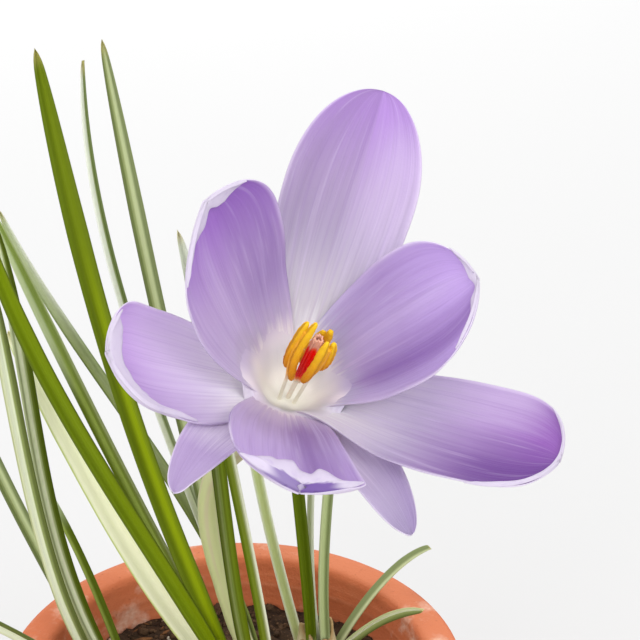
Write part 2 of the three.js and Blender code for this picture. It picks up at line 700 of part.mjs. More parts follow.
// ---- assembly ---------------------------------------------------------------------------------------
const crocus = new THREE.Group();
const soil = [MAIN_SHEATH, LEFT_SHEATH, BACK_SHEATH].reduce(
  (block, sheath) => block.subtract(bore(sheath)),
  soilBlock(),
);
crocus.add(named("pot", potSolid(), 0xb4683f, 0.85));
crocus.add(named("soil", mainBody(soil), 0x3a2a1e, 0.98));
crocus.add(named("bloom", bloomSolid(), 0xb79ad0, 0.55));
STAMENS.forEach((lobes, k) => {
  crocus.add(named(`stamen_${k + 1}`, stamenSolid(lobes), 0xe09a1c, 0.6));
});
crocus.add(named("stigma", stigmaSolid(), 0xb01c04, 0.6));
crocus.add(named("leaves_main", shootSolid(MAIN_SHEATH, [...MAIN_LEAVES, PALE_LEAF]), 0x6f8420, 0.5));
crocus.add(named("leaves_left", shootSolid(LEFT_SHEATH, LEFT_LEAVES), 0x75892c, 0.5));
crocus.add(named("leaves_back", shootSolid(BACK_SHEATH, BACK_LEAVES), 0x75892c, 0.5));

export default crocus;
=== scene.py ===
"""Dresses the potted crocus in Blender: fine tepals with veins and turned-over margins, granular
stamens, a glistening stigma, striped leaves, crumbly soil and a thrown clay pot.
Shapes are worked out in millimetres in the row frame and become metres in add_piece()."""

from itertools import combinations

import bpy
import numpy as np
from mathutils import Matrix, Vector, noise


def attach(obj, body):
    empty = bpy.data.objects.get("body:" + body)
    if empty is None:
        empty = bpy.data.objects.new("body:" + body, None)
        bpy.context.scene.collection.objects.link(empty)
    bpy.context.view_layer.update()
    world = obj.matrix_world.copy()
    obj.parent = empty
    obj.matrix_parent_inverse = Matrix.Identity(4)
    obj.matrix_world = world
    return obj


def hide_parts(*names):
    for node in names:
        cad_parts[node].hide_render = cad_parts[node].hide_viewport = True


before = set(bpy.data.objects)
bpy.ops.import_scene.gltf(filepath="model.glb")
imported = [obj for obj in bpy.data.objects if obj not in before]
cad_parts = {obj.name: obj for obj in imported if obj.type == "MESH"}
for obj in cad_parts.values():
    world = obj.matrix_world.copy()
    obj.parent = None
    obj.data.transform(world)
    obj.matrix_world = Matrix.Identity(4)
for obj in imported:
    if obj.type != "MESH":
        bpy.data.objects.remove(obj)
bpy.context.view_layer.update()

# ---- numbers -------------------------------------------------------------------------------------
MM = 0.001
rng = np.random.default_rng(41)


def vec(*xyz):
    return np.array(xyz, float)


def smooth(x, low=0.0, high=1.0):
    x = np.clip((x - low) / (high - low), 0, 1)
    return x * x * (3 - 2 * x)


def mix(a, b, share):
    return a + (b - a) * share


def unit(v):
    return v / np.linalg.norm(v, axis=-1, keepdims=True)


def rad(degrees):
    return np.radians(degrees)


# pot and soil, as in the solids
POT_HEIGHT, POT_BASE_R, POT_SHOULDER_R = 88, 33, 42.5
POT_SIDES, POT_STEP, SOIL_SIDES, SOIL_RINGS = 144, 1.2, 150, 52
RIM_R, RIM_HEIGHT, POT_WALL, POT_FLOOR, POT_EDGE = 48, 17, 4, 5, 1.2
DRAIN_R, DRAIN_RING_R, DRAIN_COUNT = 4.5, 19, 3
SOIL_LEVEL, SOIL_DOME, SOIL_BUMP, FIT = 78, 1.6, 0.7, 0.3
CRUMBS, CRUMB_STRETCH = 1150, [(1, 0.85, 0.7), (1.9, 0.6, 0.35), (0.8, 0.75, 0.7)]  # earth, bark, grit

# flower
THROAT = vec(12, -22, 163)
TILT, HEADING = rad(33.3), rad(-66.4)
AXIS = vec(np.sin(TILT) * np.cos(HEADING), np.sin(TILT) * np.sin(HEADING), np.cos(TILT))
SIDE = unit(vec(1, 0, 0) - AXIS * AXIS[0])
RISE = np.cross(AXIS, SIDE)
THROAT_FLOOR = -7


def around(degrees):
    return SIDE * np.cos(rad(degrees)) + RISE * np.sin(rad(degrees))


BOWL_R, CUP_R = 8.8, 5.9
BOWL_SIDES, BOWL_RINGS, BOWL_THICK = 180, 56, 0.5
# bearings of the seams that it closes, and how many mm further it reaches there
BOWL_SEAMS = [(178, 3.4), (205, 3.0), (230, 1.8), (300, 3.4), (334, 2.2), (350, 0.8)]
BOWL_CREAM = [(0, (240, 239, 226)), (0.3, (250, 248, 238)), (0.6, (252, 247, 243))]  # middle outwards
# paler webs between the inner tepals, the throat's own whitish colour together with painted light that lifts
# the shade in the gaps there, and the front side made duller and beige with painted shade: bearing, breadth
# and strength
BOWL_WEBS = [(211, 12, 0.8), (327, 9, 0.8)]
BOWL_WEB_COLOUR = (248, 242, 248)
BOWL_SHADE = 262, 55, 0.5
WAISTS = {"low_left": 0.55, "low_right": 0.6, "front": 0.8}  # of the feet, under the throat's bowl
FOOT, FOOT_R, FOOT_DROP, FOOT_CUP, FOOT_LEAN, KNEE = 0.42, 3.3, -4, 65, 18, 0.35
TEPAL_THICK, TEPAL_EDGE = 0.6, 0.3
TEPAL_ROWS, TEPAL_COLUMNS = 84, 49
FOLD_STEPS, FOLD_ROLL_ROWS, FOLD_FLAP_ROWS, FOLD_THICK = 170, 9, 14, 0.22
TUBE_R, TUBE_SINK, TUBE_SIDES = 1.9, 9, 36
TEPALS = {
    "tall": dict(around=78, lean=54.5, length=57.5, width=24.5, widest=0.67, blunt=1.95,
                 cup=23, curl=0, roll=-7.5, side=-1, tip=0),
    "left": dict(around=200, lean=60, length=44.5, width=22, widest=0.79, blunt=2.75,
                 cup=18, curl=60, roll=-7.5, side=-3.5, tip=-13),
    "right": dict(around=-32.5, lean=65, length=54, width=24, widest=0.73, blunt=2.8,
                  cup=19, curl=20, roll=-4, side=6, tip=-5),
    "low_left": dict(around=224.5, lean=64.5, length=43, width=12, widest=0.48, blunt=1.35,
                     cup=35, curl=0, roll=9, side=22, tip=15),
    "low_right": dict(around=301, lean=66, length=41.5, width=12.5, widest=0.46, blunt=1.35,
                      cup=28, curl=0, roll=2, side=-6, tip=22),
    "upper_left": dict(around=158, lean=27, length=50, width=28, widest=0.74, blunt=2.3,
                       cup=20, curl=20, roll=-14, side=6, tip=-6),
    "upper_right": dict(around=14, lean=34.5, length=45, width=26.5, widest=0.69, blunt=2.3,
                        cup=26, curl=30, roll=8, side=-8, tip=-9),
    "front": dict(around=254.5, lean=54, length=45.5, width=24, widest=0.85, blunt=2.5,
                  cup=26, curl=20, roll=-11, side=20, tip=-9),
}
# turned-over margins: (side of the edge, share of the length) at both ends, the width in mm at even
# steps from the first end to the last, how far it turns over in degrees, and its roll radius
FOLDS = {
    "left": dict(ends=[(-1, 0.935), (1, 0.62)], widths=[0, 2.4, 2.9, 2.5, 3.2, 3.6, 3.4, 2.6, 1.2, 0],
                 turn=155, roll=0.35, seed=3),
    "upper_left": dict(ends=[(1, 0.86), (-1, 0.945)], turn=165, roll=0.25, seed=5,
                       widths=[0, 1, 1.5, 1.8, 2.2, 2.4, 1.5, 2.3, 2.2, 1.2, 0]),
    "upper_right": dict(ends=[(1, 0.95), (-1, 0.86)], widths=[0, 0.8, 1.0, 1.3, 0.6, 1.4, 1.2, 0.9, 0.5, 0],
                        turn=160, roll=0.22, seed=8),
    "right": dict(ends=[(-1, 0.78), (1, 0.9)], widths=[0, 0.5, 0.7, 0.8, 0.7, 0.7, 0.6, 0.5, 0.4, 0],
                  turn=150, roll=0.22, seed=11),
    "front": dict(ends=[(-1, 0.925), (1, 0.9)], turn=105, roll=0.45, seed=14,
                  widths=[0, 1.8, 3.4, 4.4, 4.9, 3.6, 3.6, 4.4, 3.2, 1.8, 0.8, 0]),
}

STAMEN_LEAN = 0.06
GROUP = unit(AXIS + SIDE * STAMEN_LEAN)
GROUP_X = unit(SIDE - GROUP * np.dot(SIDE, GROUP))
GROUP_Y = np.cross(GROUP, GROUP_X)
LOBE_R, LOBE_RINGS, LOBE_SIDES = 0.78, 48, 22
POLLEN_GRAINS, POLLEN_SIZES = 190, (0.05, 0.1)
STAND = 0.4  # how far the feet stand above the throat's floor
FILAMENT_R, FILAMENT_RINGS = (0.34, 0.6), 40
STIGMA_BLADES, STIGMA_SPAN, STIGMA_THICK = 3, (4.5, 18.5), (0.5, 0.3)
STYLE_R, STYLE_RINGS, STYLE_SIDES = 0.45, 24, 16
# both lobes of each anther: foot and top as height, distance from the middle and bearing, then how far
# and which way the lobe bows
STAMENS = [
    [((8.3, 3.1, 180), (23.3, 3.3, 187), 0.5, 183), ((7, 2.6, 225), (24.3, 2.3, 207), 0.95, 178)],
    [((7.2, 2.1, -84), (21.5, 2.8, -76), 0.5, -80), ((10.5, 2.6, -24), (20.5, 2.95, -45), 0.5, -35)],
    [((6.5, 2.4, 88), (17.2, 2.65, 62), 0.5, 75), ((6.5, 3.1, 52), (18.7, 2.65, 38), 0.5, 45)],
]

# papery sheaths: foot, direction, radius at the foot and at the top, height
SHEATHS = {
    "main": dict(foot=vec(8, -3, 78), towards=vec(-26, 1.5, 73), outer=5.7, top=4.3, height=12),
    "left": dict(foot=vec(-24, 4, 78), towards=vec(-14, 0, 32), outer=4.3, top=3.2, height=9),
    "back": dict(foot=vec(17, 13.5, 78), towards=vec(0, 2, 30), outer=5.4, top=4.1, height=9),
}
# root on the soil, two bends, tip, width, the way the channel looks, and a colour recipe
LEAVES = {
    "main": [
        ((4, -5), (-14, -4.5, 119), (-38.6, -6.5, 157), (-45, -6, 195.5), 3.4, 20, "deep"),
        ((4, -2), (-15, 3.5, 111.5), (-31, 8.5, 151), (-46, 14, 185), 3, -15, "two_tone"),
        ((5.5, 1), (5, 7, 112.5), (-33.2, 13.5, 151.5), (-45.2, 20, 181.5), 2.4, 10, "greyed"),
        ((3.5, -3.5), (-17, -3, 133.5), (-24.5, -4.5, 168), (-32, -4, 221), 3.9, 15, "bright"),
        ((6.5, 1.3), (-6.5, 7.5, 124.5), (-29, 17.5, 168), (-27.6, 24, 210.5), 2.1, -20, "thin"),
        ((7, 1.5), (-8, 7, 122), (-15.5, 8.5, 176.5), (-22.5, 14, 217.5), 3, 0, "grey_mid"),
        ((7, -7), (-2.5, -9, 110), (-0.5, -11, 161), (-7.5, -13, 190.5), 2.8, 10, "dark_edge"),
        ((9, -7.5), (7, -11, 111), (-0.5, -13.5, 147), (-3, -17, 177), 2.2, -10, "pale_right"),
        ((4, -1), (-22, 4, 106), (-30, 8, 135), (-44, 13, 158.5), 5, 5, "pale"),
    ],
    "left": [
        ((-25, 3), (-40.5, 1.5, 101), (-40.5, -0.5, 149.5), (-44, -2, 178), 3.1, -5, "white_mid"),
        ((-23.5, 5), (-42, 4.5, 113.5), (-36.5, 3.5, 153), (-43.5, 3, 187), 3, 10, "white_left"),
        ((-25.5, 5), (-40, 11, 105), (-55, 19, 135), (-62, 25, 158), 3, 25, "grey_mid"),
        ((-25, 2), (-36, -7, 96), (-50, -15, 114), (-64, -22, 121), 3.2, -30, "white_mid"),
        ((-22.5, 6), (-30, 14, 98), (-38, 24, 112), (-48, 33, 120), 2.6, 150, "two_tone"),
    ],
    "back": [
        ((14.5, 15.5), (5.5, 21, 110), (1, 26.5, 135.5), (-1.5, 32, 165), 2.4, -10, "faint"),
        ((16, 11), (15.5, 12.5, 110), (8.5, 12.5, 148.5), (12.5, 14, 179.5), 2.6, 15, "olive"),
        ((17.5, 15.5), (12, 18.5, 114.5), (20, 23, 155), (18, 26, 187), 2, 70, "silvery"),
        ((19.5, 12), (15.5, 14, 113.5), (24, 17, 146), (23.5, 18, 180.5), 2.2, 0, "light"),
        ((19.5, 14.5), (26, 18, 90), (34, 24, 98), (42, 31, 97), 2.6, 200, "grey_mid"),
        ((18, 12), (24, 9, 88), (31, 6, 98), (39, 2, 100), 2.4, 20, "white_mid"),
    ],
}
LEAF_THICK, LEAF_SINK, LEAF_FOOT, LEAF_RINGS = 0.8, 5, 2.2, 64
SHEATH_SIDES, SHEATH_ROWS, SHEATH_SINK, SHEATH_THICK = 60, 16, 9, 0.5


# ---- shapes --------------------------------------------------------------------------------------
def half_width(spec, s):
    full = spec["width"] / 2
    below = full * mix(FOOT, 1, np.sin(np.clip(s / spec["widest"], 0, 1) * np.pi / 2) ** 1.3)
    past = np.clip((s - spec["widest"]) / (1 - spec["widest"]), 0, 1)
    above = full * np.sqrt(np.maximum(1 - past ** spec["blunt"], 0.0006))
    return np.where(s < spec["widest"], below, above)


class Tepal:
    """The middle surface of a tepal: at(s, t) for the share s of its length and t across it."""

    STEPS, ACROSS = 400, 121

    def __init__(self, spec):
        self.spec = spec
        self.out = around(spec["around"])
        self.across = np.cross(AXIS, self.out)
        middle = (np.arange(self.STEPS) + 0.5) / self.STEPS
        along = self.directions(middle)[0]
        start = THROAT + AXIS * FOOT_DROP + self.out * FOOT_R
        path = np.vstack([np.zeros(3), np.cumsum(along, 0)]) * spec["length"] / self.STEPS
        self.s = np.linspace(0, 1, self.STEPS + 1)
        self.t = np.linspace(-1, 1, self.ACROSS)
        self.points = start + path
        _, self.lateral, self.normal = self.directions(self.s)
        self.table = self.section_table()

    def directions(self, s):
        spec = self.spec
        lean = mix(FOOT_LEAN, spec["lean"], smooth(s, 0, KNEE)) + spec["tip"] * smooth(s, 0.6, 1)
        lean, sweep = rad(lean)[:, None], rad(spec["side"] * s)[:, None]
        radial = self.out * np.cos(sweep) + self.across * np.sin(sweep)
        along = AXIS * np.cos(lean) + radial * np.sin(lean)
        flat = self.across * np.cos(sweep) - self.out * np.sin(sweep)
        inward = np.cross(along, flat)
        turn = rad(spec["roll"]) * smooth(s, 0.05, 0.8)[:, None]
        lateral = flat * np.cos(turn) + inward * np.sin(turn)
        return along, lateral, inward * np.cos(turn) - flat * np.sin(turn)

    def slope(self, s, t):
        cup = mix(FOOT_CUP, self.spec["cup"], smooth(s, 0, 0.5))
        curl = self.spec["curl"] * smooth(s, 0.45, 0.8)
        return rad(cup * t + np.sign(t) * curl * smooth(np.abs(t), 0.7, 1))

    def section_table(self):
        between = (self.t[1:] + self.t[:-1]) / 2
        angle = self.slope(self.s[:, None], between[None])
        step = self.t[1] - self.t[0]
        sums = []
        for part in (np.cos(angle), np.sin(angle)):
            run = np.hstack([np.zeros((len(self.s), 1)), np.cumsum(part, 1) * step])
            sums.append(run - run[:, [self.ACROSS // 2]])
        return np.stack(sums, -1)

    def at(self, s, t):
        """Points and normals; the normal looks towards the flower's axis."""
        s, t = np.clip(s, 0, 1), np.clip(t, -1, 1)
        i = np.minimum((s * self.STEPS).astype(int), self.STEPS - 1)
        u = (s * self.STEPS - i)[..., None]
        column = (t + 1) / 2 * (self.ACROSS - 1)
        j = np.minimum(column.astype(int), self.ACROSS - 2)
        v = (column - j)[..., None]
        table = self.table
        low = table[i, j] * (1 - v) + table[i, j + 1] * v
        high = table[i + 1, j] * (1 - v) + table[i + 1, j + 1] * v
        section = (low * (1 - u) + high * u) * half_width(self.spec, s)[..., None]
        point = self.points[i] * (1 - u) + self.points[i + 1] * u
        lateral = self.lateral[i] * (1 - u) + self.lateral[i + 1] * u
        normal = self.normal[i] * (1 - u) + self.normal[i + 1] * u
        point = point + lateral * section[..., :1] + normal * section[..., 1:]
        angle = self.slope(s, t)[..., None]
        return point, unit(normal * np.cos(angle) - lateral * np.sin(angle))

    def at_flat(self, x, y):
        """The same for a place in the tepal laid flat: x across and y along, in millimetres."""
        s = np.clip(y / self.spec["length"], 0, 1)
        return self.at(s, x / half_width(self.spec, s))


def bezier(points, u):
    a, b, c, d = [np.asarray(p, float) for p in points]
    u = u[:, None]
    place = (1 - u) ** 3 * a + 3 * (1 - u) ** 2 * u * b + 3 * (1 - u) * u * u * c + u ** 3 * d
    along = (1 - u) ** 2 * (b - a) + 2 * (1 - u) * u * (c - b) + u * u * (d - c)
    return place, unit(along)


def even_bezier(points, share):
    """Places and directions at equal shares of the curve's length."""
    u = np.linspace(0, 1, 401)
    steps = np.linalg.norm(np.diff(bezier(points, u)[0], axis=0), axis=1)
    length = np.concatenate([[0], np.cumsum(steps)])
    return bezier(points, np.interp(share * length[-1], length, u))


TUBE = [vec(8, -3, SOIL_LEVEL), vec(-18, -1.5, 151), THROAT - AXIS * 40, THROAT]


def leaf_taper(s, foot):
    body = 1.02 * np.sqrt(np.clip(1 - s ** 5, 0, 1)) + 0.12 - 0.1 * smooth(s, 0.98, 1)
    return np.minimum(mix(foot, 1, smooth(s, 0, 0.25)), body)


def between(four, k):
    """Places on the soft curve from the second of four points to the third."""
    a, b, c, d = four
    u = (k % 1)[:, None]
    curve = 2 * b + (c - a) * u + (2 * a - 5 * b + 4 * c - d) * u ** 2 + (3 * b - a - 3 * c + d) * u ** 3
    return curve / 2


def soft_curve(corners, count):
    """Evenly spaced points on a soft curve through the corners."""
    corners = np.asarray(corners, float)
    k = np.linspace(0, len(corners) - 1.001, count)
    i, last = k.astype(int), len(corners) - 1
    return between([corners[np.clip(i + step, 0, last)] for step in (-1, 0, 1, 2)], k)


def leaf_outline(width, count=24):
    """Smooth closed section through the corners of the solid's: x to the side and y up."""
    t = LEAF_THICK
    corners = np.array([
        [-0.5 * width, 0.1 * width], [0, -0.85 * t], [0.5 * width, 0.1 * width],
        [0.34 * width, 0.55 * t + 0.1 * width], [0, 0.1 * t], [-0.34 * width, 0.55 * t + 0.1 * width],
    ])
    k = np.arange(count) * len(corners) / count
    return between([corners[(k.astype(int) + step) % len(corners)] for step in (-1, 0, 1, 2)], k)


def leaf_rings(leaf, sheath):
    """Rings of points, the first of them sunk in the soil, and their places across and along the leaf."""
    root, first, second, tip, width, face, _ = leaf
    s = 1 - (1 - np.linspace(0, 1, LEAF_RINGS)) ** 1.25
    centre, along = even_bezier([(*root, SOIL_LEVEL), first, second, tip], s)
    centre = np.vstack([centre[0] - unit(sheath["towards"]) * LEAF_SINK, centre])
    along, s = np.vstack([along[0], along]), np.append(0, s)
    lateral = unit(np.cross(vec(np.sin(rad(face)), -np.cos(rad(face)), 0.25), along))
    normal = np.cross(along, lateral)
    widths = width * leaf_taper(s, LEAF_FOOT / width)
    outlines = np.stack([leaf_outline(w) for w in widths])
    rings = centre[:, None] + lateral[:, None] * outlines[..., :1] + normal[:, None] * outlines[..., 1:]
    return rings, grid_uv(0.5 - outlines[..., 0] / widths[:, None], s[:, None])


def in_group(height, radius, bearing):
    """Place beside the stamens' common line: height from the throat, distance and bearing."""
    height = np.asarray(height, float)[..., None]
    radius = np.asarray(radius, float)[..., None]
    base = THROAT + AXIS * THROAT_FLOOR
    return base + GROUP * (height - THROAT_FLOOR) + around(bearing) * radius


def circle(sides):
    return np.linspace(0, 2 * np.pi, sides, endpoint=False)


def spokes(x, y, sides):
    """Directions all round a ring, from x over y."""
    angle = circle(sides)[:, None]
    return np.cos(angle) * x + np.sin(angle) * y


def turned(profile, sides, origin=0, x=vec(1, 0, 0), y=vec(0, 1, 0), z=vec(0, 0, 1)):
    """Rings of a lathed form about z."""
    radius, height = np.asarray(profile, float).T[..., None, None]
    return origin + radius * spokes(x, y, sides) + height * z


def bar(path, x, y, radius, sides):
    """Rings of a round bar along a path; x and y span its section."""
    return path[:, None] + np.broadcast_to(radius, len(path))[:, None, None] * spokes(x, y, sides)


def ripples(s, t, seed, count=13):
    """Fine ribs that fan out from the foot, and a loose wave that grows towards the edges."""
    local = np.random.default_rng(seed)
    bend = 0.25 * np.sin(2.2 * s + local.uniform(0, 6))
    ribs = np.sin(count * np.pi * (t + 0.06 * bend)) * np.sin(5 * t + 2.2 + local.uniform(0, 1))
    phase = local.uniform(0, 6, 3)
    wave = (np.sin(9 * s + phase[0] + 1.5 * np.sign(t)) * np.abs(t) ** 3
            + 0.6 * np.sin(17 * s + phase[1] + 2 * np.sign(t)) * np.abs(t) ** 5)
    swell = np.sin(5 * t + phase[2]) * np.sin(4 * s)
    return (0.03 * ribs * smooth(s, 0.05, 0.3) * smooth(1 - s, 0, 0.15)
            + 0.28 * wave * smooth(s, 0.35, 0.7) * smooth(1 - s, 0, 0.06) + 0.12 * swell)


# ---- meshes --------------------------------------------------------------------------------------
def add_piece(name, points, faces, materials, node, uv=None, face_slots=None):
    """A smooth-shaded mesh from millimetres, riding on the root and standing for a node."""
    mesh = bpy.data.meshes.new(name)
    mesh.from_pydata((np.asarray(points) * MM).tolist(), [], [list(f) for f in faces])
    mesh.update()
    if uv is not None:
        corner = np.zeros(len(mesh.loops), np.int32)
        mesh.loops.foreach_get("vertex_index", corner)
        layer = mesh.uv_layers.new(name="Grown")
        layer.data.foreach_set("uv", np.asarray(uv, np.float32)[corner].ravel())
    for material in materials:
        mesh.materials.append(material)
    if face_slots is not None:
        mesh.polygons.foreach_set("material_index", np.asarray(face_slots, np.int32))
    mesh.polygons.foreach_set("use_smooth", np.ones(len(mesh.polygons), bool))
    piece = bpy.data.objects.new(name, mesh)
    bpy.context.scene.collection.objects.link(piece)
    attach(piece, "root")
    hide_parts(node)
    return piece


def grid_faces(rows, columns, first=0, flip=False, closed=False):
    i, j = np.meshgrid(np.arange(rows - 1), np.arange(columns if closed else columns - 1), indexing="ij")
    a, b = i * columns + j, i * columns + (j + 1) % columns
    quads = np.stack([a, a + columns, b + columns, b], -1).reshape(-1, 4) + first
    return quads[:, ::-1] if flip else quads


def loop_faces(rows, sides, flip=False):
    """Quads over rings whose last one joins the first."""
    i, j = np.meshgrid(np.arange(rows), np.arange(sides), indexing="ij")
    row, below, k = i * sides, (i + 1) % rows * sides, (j + 1) % sides
    quads = np.stack([row + j, below + j, below + k, row + k], -1).reshape(-1, 4)
    return quads[:, ::-1] if flip else quads


def tube_faces(rings, sides):
    """Quads between rings of equal length and one flat face over each end."""
    faces = grid_faces(rings, sides, closed=True, flip=True).tolist()
    faces.append(list(range(sides))[::-1])
    faces.append(list(range((rings - 1) * sides, rings * sides)))
    return faces


def thin_body(grid, normals, thickness):
    """Closed thin body about a grid: points, faces, and 0 for the face on the normals' side."""
    rows, columns = grid.shape[:2]
    lift = normals * np.broadcast_to(thickness, grid.shape[:2])[..., None] / 2
    points = np.concatenate([(grid + lift).reshape(-1, 3), (grid - lift).reshape(-1, 3)])
    below = rows * columns
    upper = grid_faces(rows, columns)
    lower = grid_faces(rows, columns, below, flip=True)
    rim = np.array([i * columns for i in range(rows - 1)]
                   + [(rows - 1) * columns + j for j in range(columns - 1)]
                   + [i * columns + columns - 1 for i in range(rows - 1, 0, -1)]
                   + list(range(columns - 1, 0, -1)))
    following = np.roll(rim, -1)
    edge = np.stack([rim, below + rim, below + following, following], -1)
    sides = np.concatenate([np.zeros(len(upper)), np.ones(len(lower) + len(edge))])
    return points, np.concatenate([upper, lower, edge]), sides


def grid_normals(grid):
    return unit(np.cross(np.gradient(grid, axis=0), np.gradient(grid, axis=1)) + 1e-9)


def grid_uv(u, v):
    u, v = np.broadcast_arrays(u, v)
    return np.stack([u.ravel(), v.ravel()], -1)


def ring_uv(rings, sides):
    return grid_uv(np.linspace(0, 1, sides), np.linspace(0, 1, rings)[:, None])


def add_rings(name, rings, skin, node, uv=None):
    """A piece from rings with closed ends; u runs round it and v along it, unless they are given."""
    shape = rings.shape[:2]
    uv = ring_uv(*shape) if uv is None else uv
    return add_piece(name, rings.reshape(-1, 3), tube_faces(*shape), [skin], node, uv=uv)


class Pile:
    """Closed bodies that make up one piece."""

    def __init__(self):
        self.points, self.faces, self.uvs, self.slots, self.count = [], [], [], [], 0

    def add(self, points, faces, uv=None, slot=0):
        self.points.append(points)
        self.faces.extend([i + self.count for i in face] for face in faces)
        self.uvs.append(uv)
        self.slots += [slot] * len(faces)
        self.count += len(points)

    def add_rings(self, rings, uv, slot=0):
        self.add(rings.reshape(-1, 3), tube_faces(*rings.shape[:2]), uv, slot)

    def piece(self, name, skins, slot, node):
        uv = None if self.uvs[0] is None else np.vstack(self.uvs)
        add_piece(name, np.vstack(self.points), self.faces, skins, node, uv=uv, face_slots=self.slots)


def icosahedron():
    """Corners and faces of a small round grain."""
    g = (1 + 5 ** 0.5) / 2
    corners = [corner for a in (-1, 1) for b in (-g, g) for corner in ((0, a, b), (a, b, 0), (b, 0, a))]
    corners = unit(np.array(corners, float))
    near = np.linalg.norm(corners[:, None] - corners[None], axis=-1) < 1.2
    faces = []
    for i, j, k in combinations(range(12), 3):
        if near[i, j] and near[j, k] and near[i, k]:
            out = np.dot(np.cross(corners[j] - corners[i], corners[k] - corners[i]), corners[i])
            faces.append((i, j, k) if out > 0 else (i, k, j))
    return corners, faces


def subdivided(corners, triangles):
    """Each triangle in four, on the unit sphere."""
    points, known, faces = list(corners), {}, []

    def middle(a, b):
        key = (min(a, b), max(a, b))
        if key not in known:
            known[key] = len(points)
            points.append(unit(points[a] + points[b]))
        return known[key]

    for a, b, c in triangles:
        ab, bc, ca = middle(a, b), middle(b, c), middle(c, a)
        faces += [(a, ab, ca), (ab, b, bc), (ca, bc, c), (ab, bc, ca)]
    return np.array(points), faces


GRAIN = icosahedron()


# ---- materials -----------------------------------------------------------------------------------
def linear(colour):
    """Linear shares from the usual 0 to 255 numbers."""
    share = np.array(colour) / 255
    return np.where(share <= 0.04045, share / 12.92, ((share + 0.055) / 1.055) ** 2.4)


def paint(colour):
    return (*linear(colour).tolist(), 1.0)


def ramped(s, stops):
    """The linear colours that a plain ramp through the stops has at s."""
    colours = np.array([linear(colour) for _, colour in stops])
    return np.stack([np.interp(s, [at for at, _ in stops], colours[:, k]) for k in range(3)], -1)


class Wire:
    """A node's output. Arithmetic on it adds a Math node."""

    def __init__(self, shader, socket):
        self.shader, self.socket = shader, socket

    def __add__(self, other):
        return self.shader.math("ADD", self, other)

    def __sub__(self, other):
        return self.shader.math("SUBTRACT", self, other)

    def __rsub__(self, other):
        return self.shader.math("SUBTRACT", other, self)

    def __mul__(self, other):
        return self.shader.math("MULTIPLY", self, other)


class Shader:
    """Short hand for a material's nodes. Wires, numbers and colours of 0 to 255 mix freely."""

    def __init__(self, name):
        self.material = bpy.data.materials.new(name)
        self.material.use_nodes = True
        self.tree = self.material.node_tree
        self.tree.nodes.clear()
        self.uv = None

    def put(self, socket, value):
        if isinstance(value, Wire):
            self.tree.links.new(value.socket, socket)
        elif value is not None:
            socket.default_value = paint(value) if isinstance(value, tuple) and len(value) == 3 else value

    def node(self, kind, values=None, **settings):
        made = self.tree.nodes.new("ShaderNode" + kind)
        for key, value in settings.items():
            setattr(made, key, value)
        for key, value in (values or {}).items():
            self.put(made.inputs[key], value)
        return made

    def wire(self, kind, values=None, output=0, **settings):
        return Wire(self, self.node(kind, values, **settings).outputs[output])

    def math(self, operation, a, b=None, c=None, clamp=False):
        return self.wire("Math", {0: a, 1: b, 2: c}, operation=operation, use_clamp=clamp)

    def blend(self, share, a, b):
        return self.wire("Mix", {0: share, 6: a, 7: b}, 2, data_type="RGBA")

    def ramp(self, share, stops, ease="EASE"):
        made = self.node("ValToRGB", {0: share})
        made.color_ramp.interpolation = ease
        elements = made.color_ramp.elements
        while len(elements) < len(stops):
            elements.new(0.5)
        for element, (place, colour) in zip(elements, stops):
            element.position = place
            element.color = paint(colour) if isinstance(colour, tuple) else (colour, colour, colour, 1.0)
        return Wire(self, made.outputs[0])

    def reach(self, value, low, high, to_low=0.0, to_high=1.0):
        """Smooth step from low to high."""
        return self.wire("MapRange", {0: value, 1: low, 2: high, 3: to_low, 4: to_high},
                         interpolation_type="SMOOTHSTEP")

    def parts(self, vector):
        return [Wire(self, socket) for socket in self.node("SeparateXYZ", {0: vector}).outputs]

    def grown(self):
        """The two coordinates of a grown piece, each 0 to 1: across it and along it."""
        if self.uv is None:
            self.uv = self.parts(self.wire("UVMap", uv_map="Grown"))[:2]
        return self.uv

    def place(self):
        return self.wire("TexCoord", output="Object")

    def noise(self, vector, scale, detail=2.0, roughness=0.5):
        values = {"Vector": vector, "Scale": scale, "Detail": detail, "Roughness": roughness}
        return self.wire("TexNoise", values, "Fac")

    def drawn(self, x, y, z, detail=2.0):
        """Noise over coordinates that are stretched on their own."""
        return self.noise(self.wire("CombineXYZ", {0: x, 1: y, 2: z}), 1.0, detail)

    def streaks(self, across, along, seed, detail=2.0):
        """Noise drawn out along the piece; across and along are how often it changes."""
        u, v = self.grown()
        return self.drawn(u * across, v * along, seed, detail)

    def from_middle(self, u):
        """0 in the middle of the piece and 1 at both edges."""
        return self.math("ABSOLUTE", self.math("MULTIPLY_ADD", u, 2.0, -1.0))

    def finish(self, colour, roughness, height=None, depth=0.1, translucent=0.0, **constant):
        """Plain surface, with a share of light let through if translucent. Depth is in millimetres."""
        surface = self.node("BsdfPrincipled", {"Base Color": colour, "Roughness": roughness})
        for key, value in constant.items():
            surface.inputs[key.replace("_", " ").title().replace("Ior", "IOR")].default_value = value
        shader, bump = Wire(self, surface.outputs[0]), None
        if height is not None:
            bump = self.wire("Bump", {"Height": height, "Strength": 1.0, "Distance": depth * MM})
            self.put(surface.inputs["Normal"], bump)
        if translucent:
            through = self.wire("BsdfTranslucent", {"Color": colour, "Normal": bump})
            shader = self.wire("MixShader", {0: translucent, 1: shader, 2: through})
        self.put(self.node("OutputMaterial").inputs["Surface"], shader)
        return self.material


CREAM, THROAT_WHITE = (234, 237, 232), (238, 241, 242)
DEEP, LIGHT, VEIN = (132, 86, 172), (226, 212, 238), (120, 78, 160)
FOOT_STOPS = [(0.05, CREAM), (0.17, THROAT_WHITE)]
TEPAL_SHEEN = dict(sheen_weight=0.12, sheen_roughness=0.4, specular_ior_level=0.3)
